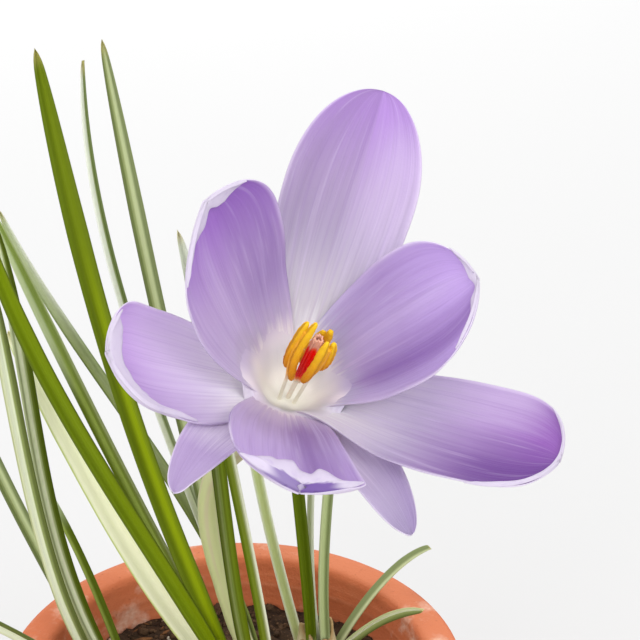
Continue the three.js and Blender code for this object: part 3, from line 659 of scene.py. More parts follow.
# colours along the tepal from foot to tip, some feet raised with painted light where neighbouring tepals
# shade them, the colour of its deeper parts (a grey painted shade on the tall one), how much deeper (or,
# below zero, paler) it is at places across it, counted from t = -1 to 1, partly its own violet and partly
# painted shade and painted light for how the cupped tepal is lit, and where along it that sets in
TEPAL_PAINT = {
    "tall": dict(
        along=[(0.3, (196, 191, 199)), (0.5, (186, 175, 198)), (0.7, (186, 165, 203)),
               (0.93, (180, 143, 210))],
        deep=(104, 84, 122), sets=(0.3, 0.62),
        across=[(-1, -0.4), (-0.5, -0.3), (-0.1, 0.05), (0.05, 0.28), (0.25, 0.24), (0.65, 0.34),
                (1, 0.2)]),
    "left": dict(
        along=[(0.3, (254, 251, 254)), (0.5, (238, 228, 245)), (0.7, (226, 206, 240)),
               (0.88, (212, 180, 234))],
        deep=(132, 86, 172), sets=(0.25, 0.65),
        across=[(-1, -0.2), (-0.5, -0.1), (-0.1, 0.06), (0.2, 0.2), (0.6, 0.36), (1, 0.4)]),
    "right": dict(
        along=[(0.3, (216, 208, 220)), (0.5, (190, 177, 204)), (0.7, (184, 157, 204)),
               (0.92, (150, 98, 180))],
        deep=(102, 50, 140), sets=(0.4, 0.85),
        across=[(-1, 0.9), (-0.5, 0.9), (0, 0.45), (0.5, -0.2), (1, -0.45)]),
    "low_left": dict(
        along=[(0.3, (240, 230, 240)), (0.62, (242, 232, 250)), (0.75, (202, 181, 221)),
               (0.95, (189, 169, 208))],
        deep=(132, 86, 172), sets=(0.4, 0.8),
        across=[(-1, 0), (-0.4, 0.1), (0.1, 0.05), (0.5, 0), (1, -0.1)]),
    "low_right": dict(
        along=[(0.3, (240, 230, 240)), (0.5, (234, 222, 242)), (0.7, (196, 182, 210)),
               (0.95, (168, 154, 188))],
        deep=(132, 86, 172), sets=(0.4, 0.75),
        across=[(-1, -0.35), (-0.3, -0.1), (0.2, 0.08), (0.7, 0.2), (1, 0.1)]),
    "upper_left": dict(
        along=[(0.23, (236, 232, 236)), (0.31, (196, 186, 212)), (0.42, (196, 180, 214)),
               (0.62, (190, 166, 208)), (0.9, (167, 121, 202))],
        deep=(122, 82, 160), sets=(0.2, 0.5),
        across=[(-1, 0.34), (-0.75, 0.42), (-0.35, 0.34), (0.05, 0.06), (0.25, -0.2), (0.45, -0.08),
                (0.8, -0.12), (1, -0.4)]),
    "upper_right": dict(
        along=[(0.22, (232, 230, 236)), (0.3, (192, 184, 216)), (0.38, (188, 170, 212)),
               (0.6, (184, 160, 208)), (0.9, (204, 176, 232))],
        deep=(122, 76, 160), sets=(0.22, 0.45),
        across=[(-1, -0.5), (-0.8, 0), (-0.5, 0.6), (-0.25, 0.3), (0, 0), (0.2, -0.2), (0.5, 0.05),
                (0.85, 0.1), (1, -0.3)]),
    "front": dict(
        along=[(0.18, (244, 238, 242)), (0.27, (203, 188, 210)), (0.4, (184, 162, 200)),
               (0.55, (200, 178, 222)), (0.75, (200, 174, 226))],
        deep=(122, 80, 158), sets=(0.22, 0.4),
        across=[(-1, -0.2), (-0.5, -0.1), (-0.1, -0.05), (0.1, 0.25), (0.38, 0.6), (0.65, 0.4), (1, 0.1)]),
}


def tepal_relief(sh, veins, share):
    return veins * share + sh.noise(sh.place(), 2600, 2.0) * 0.25


def tepal_inside(name, recipe, seed):
    """Lilac from a cream foot: deeper and paler bands that are partly the tepal's own colour and partly
    painted shade and painted light, veins, pale streaks, blotches and a whitish rim.
    """
    sh = Shader(f"tepal_{name}_inside")
    u, v = sh.grown()
    wander = sh.streaks(26, 1.3, seed)
    coarse = sh.streaks(9, 0.9, seed + 7.3)
    shifted = v + (wander - 0.5) * 0.16
    colour = sh.ramp(shifted, FOOT_STOPS + recipe["along"], "LINEAR")
    onset = sh.reach(shifted, *recipe["sets"])
    # across bands: the tepal's own deeper and paler zones together with painted shade and painted light for
    # how the cupped tepal is lit
    band = sh.ramp(u + (coarse - 0.5) * 0.1, [((t + 1) / 2, 0.5 + d / 2) for t, d in recipe["across"]])
    deeper = sh.math("MULTIPLY", band - 0.5, 2.0, clamp=True) * onset
    paler = sh.math("MULTIPLY", 0.5 - band, 2.0, clamp=True) * (onset * sh.reach(v, 1.0, 0.78))
    fine = sh.streaks(64, 1.1, seed + 3.1, 3.0)
    blotchy = sh.streaks(21, 2.4, seed + 11.9, 3.0)
    rim = sh.reach(sh.from_middle(u), 0.93, 1.0) * sh.reach(v, 0.45, 0.7, 0.0, 0.45)
    for share, over in (
            (deeper, recipe["deep"]),
            (paler, LIGHT),
            (sh.reach(fine, 0.45, 0.75) * sh.reach(v, 0.12, 0.45, 0.03, 0.16), VEIN),
            (sh.reach(wander, 0.55, 0.75) * sh.reach(v, 0.75, 0.2, 0.06, 0.38), LIGHT),
            (sh.reach(blotchy, 0.54, 0.74) * sh.reach(v, 0.2, 0.5, 0.0, 0.2), LIGHT),
            (sh.reach(blotchy, 0.46, 0.28) * sh.reach(v, 0.2, 0.5, 0.0, 0.12), recipe["deep"]),
            (rim, (240, 230, 246))):
        colour = sh.blend(share, colour, over)
    through = sh.reach(v, 0.15, 0.5, 0.08, 0.32)
    return sh.finish(colour, 0.52, tepal_relief(sh, fine, 0.8), 0.1, through, **TEPAL_SHEEN)


def tepal_outside(name, seed, patch=0.0):
    """The paler back of a tepal: whitish lilac with thin violet veins that gather at the foot."""
    sh = Shader(f"tepal_{name}_outside")
    u, v = sh.grown()
    wander = sh.streaks(30, 1.0, seed + 1.7)
    colour = sh.ramp(v, [(0.0, (226, 222, 200)), (0.12, (222, 212, 224)), (0.5, (212, 198, 224)),
                         (0.95, (228, 218, 236))], "LINEAR")
    veins = sh.reach(wander, 0.52, 0.7) * sh.reach(v, 0.9, 0.1, 0.08, 0.4)
    colour = sh.blend(veins, colour, (160, 126, 190))
    if patch:
        colour = sh.blend(sh.reach(sh.streaks(5, 3, seed + 9.0), 0.45, 0.62) * patch, colour, DEEP)
    return sh.finish(colour, 0.55, tepal_relief(sh, wander, 0.7), 0.1, 0.32, **TEPAL_SHEEN)


def fold_skin(name, seed, purple):
    """Turned-over margin, v from the crease to the true edge: the back's whitish skin."""
    sh = Shader(f"fold_{name}")
    u, v = sh.grown()
    mottle = sh.drawn(u * 9.0, v * 2.5, seed, 3.0)
    white = sh.blend(sh.reach(mottle, 0.5, 0.75, 0.0, 0.5), (222, 213, 230), (200, 184, 218))
    if purple:
        along = sh.ramp(u, [(0.0, 0.0), (0.14, 0.0), (0.24, 0.75), (0.42, 0.85), (0.5, 0.25), (0.56, 1.0),
                            (0.74, 0.95), (0.84, 0.0), (1.0, 0.0)])
        low = sh.reach(v + mottle * 0.5, 0.66, 0.54)
        white = sh.blend(along * low * purple, white, (104, 58, 160))
    return sh.finish(white, 0.5, mottle, 0.08, 0.35, specular_ior_level=0.3)


def bowl_skin():
    """The grown-together feet, tinted cream in the middle and like the tepal underneath further out, with
    painted light on the webs and painted shade on the front side carried in the tint.
    """
    sh = Shader("throat_bowl")
    u, v = sh.grown()
    streak = sh.drawn(u * 90.0, v * 1.2, 3.0, 3.0)
    tinted = sh.wire("VertexColor", layer_name="Tint")
    colour = sh.blend(sh.reach(streak, 0.5, 0.8, 0.0, 0.12), tinted, (226, 216, 226))
    return sh.finish(colour, 0.52, streak, 0.05, sh.reach(v, 0.35, 0.85, 0.0, 0.13), **TEPAL_SHEEN)


def streaky_skin(name, stops, streaks, patches, over, roughness, depth, through, gloss=0.3):
    """Colours along a grown piece under fine streaks of another colour, which also raise it."""
    sh = Shader(name)
    streak = sh.streaks(*streaks)
    colour = sh.ramp(sh.grown()[1], stops, "LINEAR")
    low, high, share = patches
    colour = sh.blend(sh.reach(streak, low, high, 0.0, share), colour, over)
    return sh.finish(colour, roughness, streak, depth, through, specular_ior_level=gloss)


def throat_skin():
    stops = [(0.0, (206, 206, 150)), (0.3, (222, 216, 196)), (0.62, (224, 217, 208)), (1.0, (214, 202, 190))]
    return streaky_skin("throat", stops, (40, 1.0, 2.0), (0.5, 0.75, 0.3), (200, 190, 172), 0.5, 0.06, 0.3)


def tube_skin():
    stops = [(0.0, (232, 230, 208)), (0.25, (206, 212, 158)), (0.6, (200, 206, 150)),
             (0.8, (212, 206, 176)), (1.0, (216, 206, 206))]
    return streaky_skin("flower_tube", stops, (14, 2.2, 4.0), (0.45, 0.7, 0.55), (206, 190, 166), 0.42, 0.12,
                        0.3, 0.35)


def sheath_skin():
    """Papery white cataphylls, browner towards the lip."""
    stops = [(0.0, (196, 176, 140)), (0.5, (228, 220, 190)), (0.8, (216, 206, 166)), (1.0, (170, 140, 92))]
    return streaky_skin("sheath", stops, (30, 1.2, 6.0, 3.0), (0.45, 0.7, 0.5), (176, 152, 108), 0.6, 0.15,
                        0.2)


def anther_skin():
    sh = Shader("anther")
    u, v = sh.grown()
    grain = sh.noise(sh.place(), 5200, 3.0, 0.7)
    # deeper orange at the foot and light yellow at the top: partly the anther's own colour and partly painted
    # shade at the foot
    colour = sh.ramp(v, [(0.0, (222, 136, 8)), (0.3, (246, 166, 12)), (0.65, (254, 196, 18)),
                         (1.0, (255, 212, 34))], "LINEAR")
    # brown along the furrow on the outer face: painted shade in the crease
    colour = sh.blend(sh.reach(sh.from_middle(u), 0.16, 0.0, 0.0, 0.55), colour, (186, 96, 2))
    colour = sh.blend(sh.reach(grain, 0.45, 0.7, 0.0, 0.45), colour, (255, 206, 70))
    return sh.finish(colour, 0.7, grain, 0.16, 0.12, specular_ior_level=0.25)


def filament_skin():
    sh = Shader("filament")
    colour = sh.ramp(sh.grown()[1], [(0.0, (246, 244, 232)), (0.4, (244, 237, 214)), (0.55, (238, 170, 30))])
    return sh.finish(colour, 0.45, sh.noise(sh.place(), 1500), 0.05, specular_ior_level=0.25)


def stigma_skin():
    sh = Shader("stigma")
    spots = sh.noise(sh.place(), 3400, 2.0)
    colour = sh.ramp(sh.grown()[1], [
        (0.0, (246, 241, 226)), (0.03, (248, 226, 190)), (0.09, (240, 130, 50)), (0.15, (244, 6, 1)),
        (0.76, (246, 5, 1)), (0.81, (232, 96, 60)), (0.86, (226, 176, 152))], "LINEAR")
    colour = sh.blend(sh.reach(spots, 0.5, 0.75, 0.0, 0.2), colour, (250, 24, 4))
    return sh.finish(colour, 0.4, spots, 0.08, coat_weight=0.1, coat_roughness=0.15, specular_ior_level=0.2)


# leaf colours across the blade from its left edge to its right edge, seen from the front: the blade's own
# stripes together with painted shade on its darker edges and slopes and painted highlight along its lit
# slopes
LEAF_PAINT = {
    "deep": [(0, (92, 108, 20)), (0.2, (112, 133, 5)), (0.65, (123, 144, 5)), (0.85, (118, 137, 6)),
             (1, (92, 108, 20))],
    "two_tone": [(0.16, (88, 104, 7)), (0.42, (158, 175, 83)), (0.65, (120, 136, 52)),
                 (0.8, (121, 133, 62)), (0.95, (156, 166, 114))],
    "greyed": [(0, (114, 129, 62)), (0.2, (156, 168, 109)), (0.45, (166, 177, 130)),
               (0.75, (166, 177, 130)), (1, (135, 150, 99))],
    "bright": [(0, (100, 116, 20)), (0.15, (98, 116, 8)), (0.65, (149, 169, 6)), (0.85, (121, 140, 12)),
               (1, (108, 125, 30))],
    "thin": [(0, (250, 252, 244)), (0.3, (231, 235, 210)), (0.5, (208, 215, 180)), (0.75, (133, 141, 102)),
             (1, (168, 176, 144))],
    "grey_mid": [(0, (116, 125, 83)), (0.16, (110, 122, 69)), (0.3, (156, 167, 112)),
                 (0.42, (196, 206, 156)), (0.58, (203, 212, 165)), (0.82, (129, 140, 94))],
    "dark_edge": [(0.05, (68, 80, 10)), (0.18, (92, 104, 40)), (0.31, (148, 161, 95)),
                  (0.44, (130, 147, 70)), (0.56, (100, 115, 26)), (0.69, (112, 131, 28)),
                  (0.83, (101, 118, 10))],
    "pale_right": [(0.05, (84, 101, 5)), (0.2, (93, 110, 5)), (0.35, (126, 142, 41)),
                   (0.5, (125, 140, 46)), (0.65, (148, 158, 96)), (0.8, (184, 191, 150)),
                   (0.95, (225, 229, 204))],
    "pale": [(0, (195, 207, 124)), (0.12, (243, 245, 216)), (0.85, (243, 245, 214)), (1, (232, 236, 200))],
    "white_mid": [(0.05, (180, 186, 136)), (0.18, (226, 231, 196)), (0.3, (236, 241, 217)),
                  (0.44, (241, 247, 217)), (0.57, (150, 161, 99)), (0.84, (102, 113, 57))],
    "white_left": [(0.05, (212, 220, 178)), (0.18, (160, 168, 126)), (0.3, (234, 242, 206)),
                   (0.44, (245, 250, 222)), (0.56, (177, 187, 133)), (0.69, (103, 118, 38)),
                   (0.83, (78, 93, 10))],
    "faint": [(0, (244, 248, 230)), (0.33, (205, 216, 156)), (0.67, (209, 219, 162)),
              (0.83, (214, 223, 180)), (1, (240, 243, 226))],
    "olive": [(0, (98, 116, 15)), (0.2, (92, 111, 4)), (0.7, (83, 101, 5)), (1, (85, 99, 24))],
    "silvery": [(0, (175, 183, 147)), (1, (224, 228, 211))],
    "light": [(0, (185, 196, 150)), (0.4, (190, 204, 148)), (0.8, (133, 146, 96)), (1, (140, 152, 108))],
}
# other colours across that take over along some blades, likewise partly painted shade and painted highlight:
# from, to, stops, share
LEAF_ENDS = {
    "bright": [(0.55, 0.8, [(0, (98, 116, 14)), (1, (100, 116, 22))], 0.7)],
    "two_tone": [(0.62, 0.8, [(0, (200, 212, 168)), (0.32, (200, 212, 165)), (0.5, (146, 165, 84)),
                              (0.9, (130, 148, 70)), (1, (170, 182, 130))], 1)],
    "greyed": [(0.55, 0.2, [(0, (119, 132, 52)), (1, (122, 136, 60))], 0.8),
               (0.7, 0.85, [(0, (150, 166, 110)), (0.3, (196, 206, 165)), (1, (226, 229, 214))], 1)],
    "dark_edge": [(0.8, 0.97, [(0, (214, 222, 200)), (1, (230, 235, 220))], 0.9)],
    "thin": [(0.3, 0.6, [(0, (250, 252, 244)), (0.4, (236, 240, 225)), (0.55, (140, 152, 96)),
                         (0.8, (92, 110, 50)), (1, (120, 134, 84))], 1)],
}


def leaf_skin(name, stops):
    sh = Shader(f"leaf_{name}")
    u, v = sh.grown()
    seed = float(len(name))
    streak = sh.streaks(34, 2.6, seed, 3.0)
    place = u + (sh.streaks(2, 5, seed + 5) - 0.5) * 0.07
    # across the blade: its own stripes with painted shade and painted highlight
    colour = sh.ramp(place, stops)
    for start, end, others, share in LEAF_ENDS.get(name, []):
        colour = sh.blend(sh.reach(v, start, end, 0.0, share), colour, sh.ramp(place, others))
    colour = sh.blend(sh.reach(streak, 0.5, 0.78, 0.0, 0.14), colour, (60, 76, 8))
    colour = sh.blend(sh.reach(streak, 0.5, 0.25, 0.0, 0.1), colour, (186, 200, 110))
    colour = sh.blend(sh.reach(v, 0.1, 0.0), colour, (222, 226, 186))
    colour = sh.blend(sh.reach(v, 0.97, 1.0, 0.0, 0.6), colour, (196, 182, 110))
    height = streak + sh.noise(sh.place(), 900) * 0.4
    return sh.finish(colour, 0.45, height, 0.06, 0.25, specular_ior_level=0.1)


def clay_skin():
    sh = Shader("terracotta")
    at = sh.place()
    x, y, z = sh.parts(at)
    broad, grain = sh.noise(at, 26, 4.0, 0.6), sh.noise(at, 900, 3.0, 0.7)
    drawn = sh.drawn(x * 6.0, y * 6.0, z * 620.0, 3.0)
    lime = sh.reach(sh.noise(at, 62, 5.0, 0.65), 0.52, 0.7) * sh.reach(z, 0.02, 0.078, 0.2, 0.62)
    damp = sh.reach(z, 0.03, 0.0) * sh.reach(broad, 0.35, 0.6) * 0.45
    colour = sh.ramp(broad, [(0.25, (168, 88, 54)), (0.5, (190, 104, 66)), (0.75, (204, 124, 86))])
    colour = sh.blend(sh.reach(drawn, 0.5, 0.75, 0.0, 0.3), colour, (214, 142, 106))
    colour = sh.blend(lime, colour, (226, 204, 186))
    colour = sh.blend(damp, colour, (122, 62, 40))
    colour = sh.blend(sh.reach(grain, 0.62, 0.72, 0.0, 0.5), colour, (150, 80, 52))
    dryness = sh.reach(lime, 0.0, 0.5, 0.82, 0.95)
    return sh.finish(colour, dryness, drawn * 0.7 + grain, 0.25, specular_ior_level=0.25)


def soil_skin(name, dark, pale):
    sh = Shader(name)
    at = sh.place()
    colour = sh.ramp(sh.noise(at, 380, 4.0, 0.7), [(0.3, dark), (0.6, pale)])
    colour = sh.blend(sh.reach(sh.noise(at, 1600, 2.0), 0.62, 0.7, 0.0, 0.5), colour, (128, 98, 70))
    return sh.finish(colour, 0.95, sh.noise(at, 2200, 3.0, 0.7), 0.3, specular_ior_level=0.2)


# ---- flower --------------------------------------------------------------------------------------
def on_waist(name, s, t):
    """The place across the tepal, drawn in where its foot is narrower under the bowl."""
    return t * mix(WAISTS.get(name, 1), 1, smooth(s, 0.18, 0.45))


def add_tepal(name, spec, seed):
    s = (1 - (1 - np.linspace(0, 1, TEPAL_ROWS)) ** 1.9)[:, None]
    t = np.linspace(-1, 1, TEPAL_COLUMNS)
    s, t = np.broadcast_arrays(s, 0.6 * t + 0.4 * np.sin(np.pi / 2 * t))
    grid, normals = Tepal(spec).at(s, on_waist(name, s, t))
    grid = grid + normals * ripples(s, t, seed)[..., None]
    thickness = mix(TEPAL_THICK, TEPAL_EDGE, t * t) * mix(1, 0.75, smooth(s, 0.4, 1))
    points, faces, sides = thin_body(grid, normals, thickness)
    skins = [tepal_inside(name, TEPAL_PAINT[name], seed), tepal_outside(name, seed, 0.5 * (name == "front"))]
    add_piece(f"tepal_{name}", points, faces, skins, "bloom",
              uv=np.tile(grid_uv((t + 1) / 2, s), (2, 1)), face_slots=sides)


def flat_outline(spec):
    """The edge of the flat tepal, from its left foot round the tip to its right foot, and which s."""
    s = 1 - (1 - np.linspace(0, 1, 700)) ** 3
    x, y = half_width(spec, s), s * spec["length"]
    line = np.vstack([np.stack([-x, y], -1), np.stack([x, y], -1)[::-1]])
    length = np.concatenate([[0], np.cumsum(np.linalg.norm(np.diff(line, axis=0), axis=1))])
    return line, length, np.concatenate([s, s[::-1]])


def edge_normals(edge, spec):
    """Directions from the flat outline to the inside, evened out round the tip."""
    along = np.gradient(edge, axis=0)
    normal = unit(np.stack([along[:, 1], -along[:, 0]], -1))
    middle = np.array([0, spec["length"] * spec["widest"] * 0.9])
    normal *= np.sign(np.sum(normal * (middle - edge), 1))[:, None]
    kernel = np.hanning(23)
    padded = np.pad(normal, ((11, 11), (0, 0)), "edge")
    even = np.stack([np.convolve(padded[:, k], kernel / kernel.sum(), "valid") for k in (0, 1)], -1)
    return unit(even)


def add_fold(name, spec, fold):
    """A margin turned over towards the inside: a small roll at the crease, then a wavy flap."""
    line, length, share = flat_outline(spec)
    half = len(line) // 2

    def run_at(side, s):
        part = slice(0, half) if side < 0 else slice(half, None)
        return length[part][np.argmin(np.abs(share[part] - s))]

    run = np.linspace(run_at(*fold["ends"][0]), run_at(*fold["ends"][1]), FOLD_STEPS)
    edge = np.stack([np.interp(run, length, line[:, k]) for k in (0, 1)], -1)
    inward = edge_normals(edge, spec)
    q = np.linspace(0, 1, FOLD_STEPS)
    phase = np.random.default_rng(fold["seed"]).uniform(0, 6, 4)
    wavy = 1 + 0.04 * np.sin(23 * q + phase[0]) + 0.02 * np.sin(61 * q + phase[1])
    width = np.maximum(soft_curve(np.transpose([fold["widths"]]), FOLD_STEPS)[:, 0], 0) * wavy
    opened = smooth(width, 0, 0.4 * width.max())
    radius = fold["roll"] * mix(0.3, 1, opened)
    turn = rad(fold["turn"])
    rolled = np.linspace(-0.6, turn, FOLD_ROLL_ROWS)
    rows = [(-radius * np.sin(a), radius * (1 - np.cos(a))) for a in rolled]
    inset, lift = rows[-1]
    flap = np.linspace(0.08, 1, FOLD_FLAP_ROWS)
    for out in flap:
        sag = turn + 0.5 * (np.pi - turn) * out
        flutter = 0.1 * np.sin(23 * q + phase[2]) * out ** 2 * opened
        rows.append((inset - width * out * np.cos(sag), lift + width * out * np.sin(sag) + flutter))
    tepal, grid = Tepal(spec), []
    for inset, lift in rows:
        point, normal = tepal.at_flat(*(edge + inward * inset[:, None]).T)
        grid.append(point + normal * (lift + 0.1)[:, None])
    grid = np.array(grid)
    points, faces, _ = thin_body(grid, grid_normals(grid), FOLD_THICK)
    places = np.concatenate([np.linspace(0, 0.1, FOLD_ROLL_ROWS), 0.1 + 0.9 * flap])
    skin = fold_skin(name, fold["seed"], 0.9 * (name == "front"))
    add_piece(f"margin_{name}", points, faces, [skin], "bloom",
              uv=np.tile(grid_uv(q, places[:, None]), (2, 1)))


def add_throat():
    profile = soft_curve([
        (0.05, -13), (1.9, -13), (3.2, -8), (4.0, -5), (5.6, 0), (6.5, 2), (5.9, 2.15), (4.5, 0),
        (2.9, -4.5), (2.5, -6.5), (0.05, -7),
    ], 60)
    profile[:, 0] = np.maximum(profile[:, 0], 0.02)
    add_rings("throat", turned(profile, 64, THROAT, SIDE, RISE, AXIS), throat_skin(), "bloom")


def tint(name, s, t):
    """Mean colour of a tepal's inside, as tepal_inside paints it but without its streaks."""
    recipe = TEPAL_PAINT[name]
    colour = ramped(s, FOOT_STOPS + recipe["along"])
    # the same bands across, with their painted shade and painted light
    band = np.interp(t, *np.transpose(recipe["across"])) * smooth(s, *recipe["sets"])
    for share, over in (
            (np.clip(band, 0, 1), recipe["deep"]),
            (np.clip(-band, 0, 1), LIGHT),
            (0.35 * mix(0.03, 0.16, smooth(s, 0.12, 0.45)), VEIN),
            (0.2 * mix(0.38, 0.06, smooth(s, 0.2, 0.75)), LIGHT)):
        colour = mix(colour, linear(over), share[..., None])
    return colour


def spread(values, across, along):
    """Even out over a polar grid; the widths are in cells outwards and round the axis."""
    for axis, width in ((0, across), (1, along)):
        steps = int(3 * width)
        shares = np.exp(-0.5 * (np.arange(-steps, steps + 1) / width) ** 2)
        pad = [(steps, steps) if k == axis else (0, 0) for k in range(values.ndim)]
        padded = np.pad(values, pad, "edge" if axis == 0 else "wrap")
        values = sum(np.take(padded, np.arange(k, k + values.shape[axis]), axis) * share
                     for k, share in enumerate(shares)) / shares.sum()
    return values


def innermost(reach, bearing):
    """Height and colour of the innermost layer over a polar grid round the axis."""
    highest = np.full((len(reach), len(bearing)), -np.inf)
    colours = np.zeros((*highest.shape, 3))
    s, t = np.meshgrid(np.linspace(0.01, 0.6, 600), np.linspace(-1, 1, 241), indexing="ij")
    for name, spec in TEPALS.items():
        point, normal = Tepal(spec).at(s, on_waist(name, s, t))
        from_throat = point + normal * TEPAL_THICK / 2 - THROAT
        side, rise, height = from_throat @ SIDE, from_throat @ RISE, from_throat @ AXIS
        i = np.round((np.hypot(side, rise) - reach[0]) / (reach[1] - reach[0])).astype(int)
        j = np.round(np.arctan2(rise, side) / (2 * np.pi) * len(bearing)).astype(int) % len(bearing)
        inside = (i >= 0) & (i < len(reach))
        i, j, height = i[inside], j[inside], height[inside]
        np.maximum.at(highest, (i, j), height)
        top = height >= highest[i, j] - 1e-9
        colours[i[top], j[top]] = tint(name, s[inside][top], t[inside][top])
    cup = np.interp(reach, [0, 2.0, 3.2, 4.6, CUP_R], [-1.7, -1.4, -0.7, 0.9, 2.3])
    cup = np.broadcast_to(np.where(reach < CUP_R, cup, -np.inf)[:, None], highest.shape)
    colours[cup > highest] = linear(CREAM)
    return np.maximum(highest, cup), colours


def evened(reach, bearing):
    """The innermost layer with its gaps closed: heights, never below a tepal, and colours."""
    highest, colours = innermost(reach, bearing)
    known = np.isfinite(highest)
    even = spread(np.where(known, highest, 0), 2.0, 5.0) / (spread(known.astype(float), 2.0, 5.0) + 1e-6)
    short = np.where(known, np.maximum(highest - even, 0), 0)
    for _ in range(3):
        short = np.maximum(short, spread(short, 1.5, 4.0))
    closed = even + spread(short, 1.5, 4.0)
    true = spread(np.where(known, highest, closed), 0.8, 1.2)
    weight = spread(known.astype(float), 2.5, 4.0) + 1e-6
    return closed, true, spread(colours * known[..., None], 2.5, 4.0) / weight[..., None]


def near_bearing(bearing, centre, breadth):
    """One at a bearing in degrees, falling off smoothly on both sides."""
    away = np.abs((np.degrees(bearing) - centre + 180) % 360 - 180)
    return np.exp(-(away / breadth) ** 2)


def add_bowl():
    """The tepals' grown-together feet: a smooth bowl over them that thins out into each."""
    bearing = circle(BOWL_SIDES)
    reach = np.arange(0.05, 13.6, 0.2)
    closed, true, colours = evened(reach, bearing)
    share = np.linspace(0.005, 1, BOWL_RINGS)[:, None]
    further = [extra * near_bearing(bearing, seam, 17) for seam, extra in BOWL_SEAMS]
    radius = share * (BOWL_R + sum(further))

    def sampled(values):
        return np.stack([np.interp(radius[:, k], reach, values[:, k]) for k in range(len(bearing))], 1)

    height = mix(sampled(closed), sampled(true), smooth(share, 0.5, 0.78))
    height = height + mix(0.04, -0.55, smooth(share, 0.7, 1))
    tinted = np.stack([sampled(colours[..., k]) for k in range(3)], -1)
    tinted = mix(ramped(share, BOWL_CREAM), tinted, smooth(share, 0.4, 0.75)[..., None])
    # paler webs in the gaps beside the inner tepals: the throat's own whitish colour together with painted
    # light that lifts the shade there
    for web, breadth, strength in BOWL_WEBS:
        paler = strength * near_bearing(bearing, web, breadth) * smooth(share, 0.45, 0.75)
        tinted = mix(tinted, linear(BOWL_WEB_COLOUR), paler[..., None])
    # painted shade: the front side of the bowl is made duller and darker, as if shaded
    shaded, breadth, strength = BOWL_SHADE
    painted_shade = near_bearing(bearing, shaded, breadth) * smooth(share, 0.1, 0.4) * smooth(share, 0.85, 0.6)
    tinted = tinted * (1 - strength * painted_shade)[..., None]
    grid = THROAT + radius[..., None] * spokes(SIDE, RISE, len(bearing)) + height[..., None] * AXIS
    rings = np.concatenate([grid, (grid - AXIS * BOWL_THICK)[::-1]])
    rows, sides = rings.shape[:2]
    uv = grid_uv(np.linspace(0, 1, sides), np.concatenate([share, share[::-1]]))
    piece = add_piece("throat_bowl", rings.reshape(-1, 3), loop_faces(rows, sides), [bowl_skin()],
                      "bloom", uv=uv)
    layer = piece.data.color_attributes.new("Tint", "FLOAT_COLOR", "POINT")
    tinted = np.concatenate([tinted, tinted[::-1]]).reshape(-1, 3)
    tinted = np.hstack([tinted, np.ones((len(tinted), 1))])
    layer.data.foreach_set("color", tinted.astype(np.float32).ravel())


def add_tube():
    s = np.linspace(0, 0.955, 90)
    path, along = even_bezier(TUBE, s)
    path = np.vstack([path[0] - along[0] * TUBE_SINK, path])
    along, s = np.vstack([along[0], along]), np.append(0, s)
    radius = TUBE_R * (1 + 0.03 * np.sin(31 * s) + 0.02 * np.sin(83 * s)) + 0.25 * smooth(s, 0.8, 1)
    x = unit(np.cross(along, vec(0, 1, 0)))
    rings = bar(path, x[:, None], np.cross(along, x)[:, None], radius, TUBE_SIDES)
    ridge = 1 + 0.03 * np.cos(6 * circle(TUBE_SIDES))
    rings = path[:, None] + (rings - path[:, None]) * ridge[None, :, None]
    add_rings("flower_tube", rings, tube_skin(), "bloom")


# ---- stamens and stigma --------------------------------------------------------------------------
def lobe_centre(lobe, u):
    low, high, bow, bearing = lobe
    return mix(in_group(*low), in_group(*high), u) + around(bearing) * bow * np.sin(np.pi * u)


def anther_lobe(lobe, facing):
    u = np.linspace(0, 1, LOBE_RINGS)
    centre = lobe_centre(lobe, u[:, None]) + facing * (0.06 * np.sin(7 * u))[:, None]
    girth = LOBE_R * np.clip(1 - np.abs(2 * mix(0.004, 0.996, u) - 1) ** 5, 0, 1) ** 0.5
    girth = girth * (1 + 0.1 * (1 - u) ** 2 + 0.05 * np.sin(19 * u) + 0.04 * np.sin(41 * u))
    rings = bar(centre, GROUP_X, GROUP_Y, girth, LOBE_SIDES)
    outward = unit(rings - centre[:, None] + 1e-9) @ facing
    furrow = 0.16 * np.clip(outward, 0, 1) ** 14
    rings = centre[:, None] + (rings - centre[:, None]) * (1 - furrow)[..., None]
    return rings, np.stack([0.5 + 0.5 * (1 - outward), np.broadcast_to(u[:, None], outward.shape)], -1)


def add_stamen(index, lobes, skins):
    def middle(u):
        return np.mean([lobe_centre(lobe, u) for lobe in lobes], 0)

    pile, (corners, triangles) = Pile(), GRAIN
    local = np.random.default_rng(60 + index)
    facing = unit(middle(0.5) - in_group(mix(lobes[0][0][0], lobes[0][1][0], 0.5), 0, 0))
    for lobe in lobes:
        rings, uv = anther_lobe(lobe, facing)
        pile.add_rings(rings, uv.reshape(-1, 2))
        flat, flat_uv = rings[1:-1].reshape(-1, 3), uv[1:-1].reshape(-1, 2)
        for pick in local.choice(len(flat), POLLEN_GRAINS, replace=False):
            grain = flat[pick] + corners * local.uniform(*POLLEN_SIZES)
            pile.add(grain, triangles, np.tile(flat_uv[pick], (len(corners), 1)))
    foot = in_group(THROAT_FLOOR + STAND, 1.35, np.mean([lobe[0][2] for lobe in lobes]))
    stops = [foot, mix(foot, middle(0), 0.5), middle(0), middle(0.45), middle(0.85)]
    path = soft_curve(stops, FILAMENT_RINGS)
    width = mix(*FILAMENT_R, smooth(np.linspace(0, 1, FILAMENT_RINGS), 0.45, 0.6))
    rings = bar(path, GROUP_X, GROUP_Y, width, STYLE_SIDES)
    pile.add_rings(rings, ring_uv(FILAMENT_RINGS, STYLE_SIDES), 1)
    pile.piece(f"stamen_fine_{index}", skins, "anther", f"stamen_{index}")


